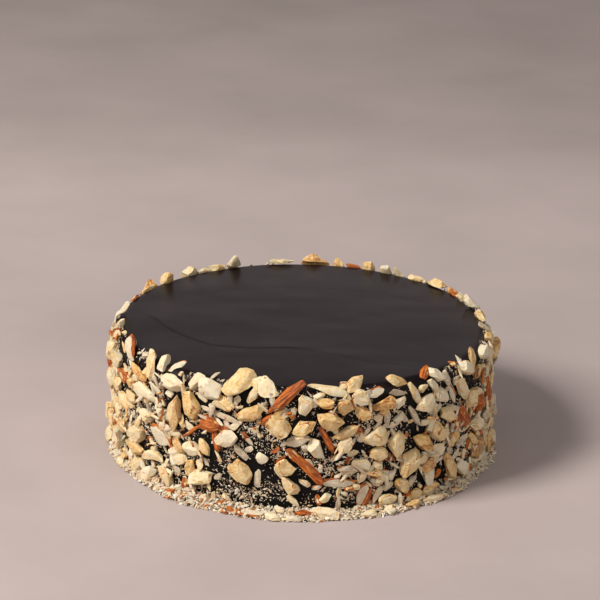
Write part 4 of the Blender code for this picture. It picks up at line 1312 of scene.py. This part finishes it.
def on_side(draw, count, room, low_share, spared):
    """The side's frame at drawn places at least so far from any nut, thinned by a cloud of noise.

    Room below 0 lets a place lie partly under a nut. More places lie low down when low_share is above
    1. The bare patch is spared by the share given.
    """
    discs = discs_of(coat + shown_bits, 0.5)
    angle = draw.uniform(-math.pi, math.pi, TRIES * count)
    way_up = LOWEST_BIT + BIT_RANGE * draw.uniform(0, 1, TRIES * count) ** low_share
    flat = np.stack([angle * GLAZE_RADIUS, way_up], axis=1)
    parts = np.array_split(flat, range(AT_ONCE, len(flat), AT_ONCE))
    kept = np.concatenate([room_at(part, *discs) for part in parts]) > room
    spot = np.stack([np.sin(angle) * GLAZE_RADIUS, -np.cos(angle) * GLAZE_RADIUS, way_up], axis=1)
    fewer = 0.5 * np.clip((way_up - SPARSE_FROM) / SPARSE_BAND, 0, SPARSEST)
    dense = waves(spot, CLOUD) + CLOUD_EXTRA - fewer - spared * bareness(angle, way_up)
    kept &= draw.uniform(-0.5, 0.5, len(flat)) < dense
    chosen = np.flatnonzero(kept)[:count]
    return side_frame(angle[chosen], way_up[chosen])


def on_bank(draw, count, nearest, farthest):
    """The bank's frame at drawn places between two shares of the way from the glaze to the toe."""
    return bank_frame(draw.uniform(-math.pi, math.pi, count), draw.uniform(nearest, farthest, count))


def drawn_sizes(draw, count, lengths, slim, flat):
    """Length, width and thickness of each bit: width as a share of length, thickness as one of width.

    Lengths run from the first to the second value, the more of them short the higher the third is.
    """
    shortest, longest, power = lengths
    length = shortest + (longest - shortest) * draw.uniform(0, 1, count) ** power
    width = length * draw.uniform(*slim, count)
    return np.stack([length, width, width * draw.uniform(*flat, count)], axis=1)


def strewn_ways(draw, ways, lean):
    """The turned ways (n, 3, 3) of bits that lie on a surface at a random turn, leaning by up to lean."""
    count = len(ways[0])
    turn = draw.uniform(0, 2 * math.pi, (count, 1))
    leans = [draw.uniform(-lean, lean, (count, 1)) for _ in range(2)]
    return turned_ways(*ways, turn, *leans)


def laid_bits(name, draw, frame_there, lengths, slim, flat, lift, grid, tones):
    """Chopped bits as one mesh, lying on a surface, each lifted off it by a length in a range."""
    place, *ways = frame_there
    count = len(place)
    sizes = drawn_sizes(draw, count, lengths, slim, flat)
    turned = strewn_ways(draw, ways, BIT_LEAN)
    breaks = np.stack([broken_faces(draw, *BIT_BREAKS) for _ in range(count)])
    shape, cut = chopped_shapes(breaks, breaks.shape[1], BIT_POWERS, *grid, BIT_CRISPNESS)
    shape /= np.abs(shape).max(axis=(1, 2), keepdims=True)
    local = shape * (sizes / 2)[:, None, None, :]
    middle = place + ways[0] * (BIT_STAND * sizes[:, 2] + draw.uniform(*lift, count))[:, None]
    placed = middle[:, None, None, :] + np.einsum("nrsk,nkj->nrsj", local, turned)
    placed[..., 2] = np.maximum(placed[..., 2], LOWEST_POINT)
    points = in_order(placed)
    per_bit = points.shape[1]
    faces = closed_skin(placed[0, 1:-1])[None] + per_bit * np.arange(count)[:, None, None]
    shades = draw.choice(len(TONES), count, p=tones)
    looks = np.minimum(np.array(list(TONES.values())), 1)[shades]
    looks += draw.normal(0, TOAST_SPREAD, (count, 3)) * (1, 1, 0)
    skinned = looks[:, 2] * (shades < len(TONES) - 1)
    own = in_order(local) + BIT_SHIFT * np.arange(count)[:, None, None]
    attributes = {
        "toast": np.repeat(np.clip(looks[:, 0], 0, 1), per_bit),
        "dust": np.repeat(np.clip(looks[:, 1], 0, 1), per_bit),
        "skin": np.repeat(looks[:, 2], per_bit),
        "cut": (in_order(cut) - SKIN_REACH * skinned[:, None]).ravel(),
        "own": own.reshape(-1, 3),
    }
    points, faces = points.reshape(-1, 3), faces.reshape(-1, 3)
    piece_from(name, points, faces, nut_finish, attributes)


def scatter(name, draw, frame_there, lengths, slim, flat, lift, lean, brown_share):
    """Loose splinters or grains as one mesh, each lifted by a share of half its thickness."""
    place, *ways = frame_there
    count = len(place)
    sizes = drawn_sizes(draw, count, lengths, slim, flat)
    turned = strewn_ways(draw, ways, lean)
    corners = np.array(SPLINTER_POINTS) + draw.uniform(-CORNER_STRAY, CORNER_STRAY, (count, 6, 3))
    local = corners * (sizes / 2)[:, None, :]
    middle = place + ways[0] * (0.5 * sizes[:, 2] * lift + draw.uniform(0, HAIR, count))[:, None]
    points = middle[:, None, :] + np.einsum("npk,nkj->npj", local, turned)
    points[..., 2] = np.maximum(points[..., 2], HAIR)
    faces = np.array(SPLINTER_FACES) + 6 * np.arange(count)[:, None, None]
    brown = draw.uniform(0, 1, count) < brown_share
    shade = np.where(brown, draw.uniform(0, BROWN_SHADE, count), draw.uniform(PALE_SHADE, 1.0, count))
    attributes = {"shade": np.repeat(shade, 6)}
    points, faces = points.reshape(-1, 3), faces.reshape(-1, 3)
    piece_from(name, points, faces, crumb_finish, attributes, smooth=False)


def nut_crumb():
    """Crumbs of kernel and skin: the colour of each crumb's own shade, worn paler and darker in specks."""
    finish = Finish("nut_crumb")
    colour = finish.ramp(finish.stored("shade"), CRUMB_COLOURS)
    worn = finish.ramp(finish.noise(finish.place(), 1800, 2), CRUMB_WEAR)
    return finish.wear(Base_Color=finish.mixed(1, colour, worn, "MULTIPLY"), Roughness=0.7)


shown_bits = listed_nuts(SHOWN_BITS, MM, 1000)
bank_pieces = listed_nuts(BANK_PIECES, 1, 1200)
for bit in shown_bits + bank_pieces:
    bit["tone"] = TONES[bit["tone"]]
nuts_as_mesh("shown_bits", shown_bits, place_on_side)
nuts_as_mesh("bank_pieces", bank_pieces, lie_on_bank)

crumb_finish = nut_crumb()
draw = np.random.default_rng([SEED, 51])
laid_bits(
    "nut_bits", draw, on_side(draw, 560, room=0.0002, low_share=1.0, spared=2.0),
    lengths=(0.0032, 0.0074, 1.7), slim=(0.40, 0.85), flat=(0.30, 0.80), lift=(0, 0.001), grid=(5, 9),
    tones=(0.20, 0.26, 0.13, 0.10, 0.14, 0.10, 0.07),
)
laid_bits(
    "nut_shards", draw, on_side(draw, 340, room=-0.0006, low_share=0.9, spared=2.0),
    lengths=(0.0045, 0.0095, 1), slim=(0.16, 0.34), flat=(0.35, 0.80), lift=(0.0006, 0.003), grid=(5, 7),
    tones=(0.18, 0.24, 0.06, 0.04, 0.26, 0.12, 0.10),
)
scatter(
    "splinters", draw, on_side(draw, 3600, room=0, low_share=1.1, spared=1.0),
    lengths=(0.0012, 0.0034, 1), slim=(0.20, 0.5), flat=(0.3, 0.8), lift=0.8, lean=0.5, brown_share=0.12,
)
scatter(
    "side_meal", draw, on_side(draw, 14000, room=-0.0001, low_share=1.15, spared=0.6),
    lengths=(0.0004, 0.0010, 1), slim=(0.35, 0.8), flat=(0.3, 0.8), lift=0.8, lean=0.5, brown_share=0.06,
)
scatter(
    "bank_meal", draw, on_bank(draw, 9500, 0, 1),
    lengths=(0.0007, 0.0033, 2), slim=(0.35, 0.8), flat=(0.3, 0.8), lift=1, lean=0.7, brown_share=0.08,
)
laid_bits(
    "bank_bits", draw, on_bank(draw, 90, 0.05, 0.9),
    lengths=(0.0030, 0.0070, 1), slim=(0.25, 0.7), flat=(0.25, 0.6), lift=(0, 0.0006), grid=(5, 9),
    tones=(0.18, 0.22, 0.06, 0.08, 0.10, 0.26, 0.10),
)


# ---------------------------------------------------------------- floor, light and camera
# A plain pale floor, a soft light from the upper left, a weaker one from the right, a broad faint one
# overhead, and one low behind that gives the top its sheen. The camera looks down on the shown side.

# The floor's half width and colours, the point that most lamps face, and the even light from all round.
FLOOR_REACH = 6
FLOOR_COLOURS = ((0.3, (0.41, 0.342, 0.325)), (0.7, (0.47, 0.390, 0.372)))
CAKE_MIDDLE = (0, 0, 0.03)
ROUND_COLOUR = (0.62, 0.58, 0.57, 1)
ROUND_LIGHT = 0.08

# The camera: its place, its tilt down and its roll in radians, and its lens and film in millimetres.
CAMERA_PLACE = (-0.0017, -1.2638, 0.5243)
CAMERA_PITCH = 0.342
CAMERA_ROLL = 0.0237
CAMERA_LENS = 161.74
CAMERA_FILM = 36
FARTHEST_SEEN = 30


def plain_floor():
    """Plain pale matt floor with a faint mottle."""
    finish = Finish("plain_floor")
    colour = finish.ramp(finish.noise(finish.place(), 9, 5), FLOOR_COLOURS)
    return finish.wear(Base_Color=colour, Roughness=0.9)


def turned_to(right, up, back, place):
    """The matrix of a lamp or camera from the ways of its axes and its place: it looks away from back."""
    turned = np.eye(4)
    turned[:3] = np.stack([right, up, back, place], axis=1)
    return Matrix(turned)


def soft_light(name, place, aim, size, power, colour):
    """A rectangular area light at a place, turned to face a point."""
    lamp = bpy.data.lights.new(name, "AREA")
    lamp.shape = "RECTANGLE"
    lamp.size, lamp.size_y = size
    lamp.energy = power
    lamp.color = colour
    holder = bpy.data.objects.new(name, lamp)
    holder.visible_camera = False
    back = np.array(place, float) - np.array(aim, float)
    back /= np.linalg.norm(back)
    side = np.cross((0, 0, 1), back)
    side /= np.linalg.norm(side)
    holder.matrix_world = turned_to(side, np.cross(back, side), back, place)
    bpy.context.scene.collection.objects.link(holder)


floor_mesh = bpy.data.meshes.new("floor")
floor_corners = [(x * FLOOR_REACH, y * FLOOR_REACH, 0) for x, y in ((-1, -1), (1, -1), (1, 1), (-1, 1))]
floor_mesh.from_pydata(floor_corners, [], [(0, 1, 2, 3)])
floor_mesh.materials.append(plain_floor())
floor = bpy.data.objects.new("floor", floor_mesh)
bpy.context.scene.collection.objects.link(floor)

soft_light("key_light", (-1.4, -0.8, 1.5), CAKE_MIDDLE, (0.7, 0.7), 62, (1.0, 0.965, 0.925))
soft_light("fill_light", (1.2, -1.6, 0.9), CAKE_MIDDLE, (1.2, 1.0), 13, (1.0, 0.97, 0.95))
soft_light("top_light", (0.2, -0.2, 1.6), CAKE_MIDDLE, (1.6, 1.6), 5, (1.0, 0.97, 0.96))
soft_light("back_light", (0.03, 0.52, 0.205), (0, 0.03, 0.06), (0.8, 0.12), 0.27, (1.0, 0.90, 0.90))

world = bpy.data.worlds.new("studio")
world.use_nodes = True
world.node_tree.nodes["Background"].inputs["Color"].default_value = ROUND_COLOUR
world.node_tree.nodes["Background"].inputs["Strength"].default_value = ROUND_LIGHT
bpy.context.scene.world = world
bpy.context.scene.view_settings.view_transform = "Standard"

lens = bpy.data.cameras.new("camera")
lens.lens = CAMERA_LENS
lens.sensor_width = CAMERA_FILM
lens.clip_end = FARTHEST_SEEN
camera = bpy.data.objects.new("camera", lens)
forward = np.array([0, math.cos(CAMERA_PITCH), -math.sin(CAMERA_PITCH)])
level = np.array([1.0, 0, 0])
upright = np.cross(level, forward)
rightward = math.cos(CAMERA_ROLL) * level + math.sin(CAMERA_ROLL) * upright
skyward = math.cos(CAMERA_ROLL) * upright - math.sin(CAMERA_ROLL) * level
camera.matrix_world = turned_to(rightward, skyward, -forward, CAMERA_PLACE)
bpy.context.scene.collection.objects.link(camera)
bpy.context.scene.camera = camera
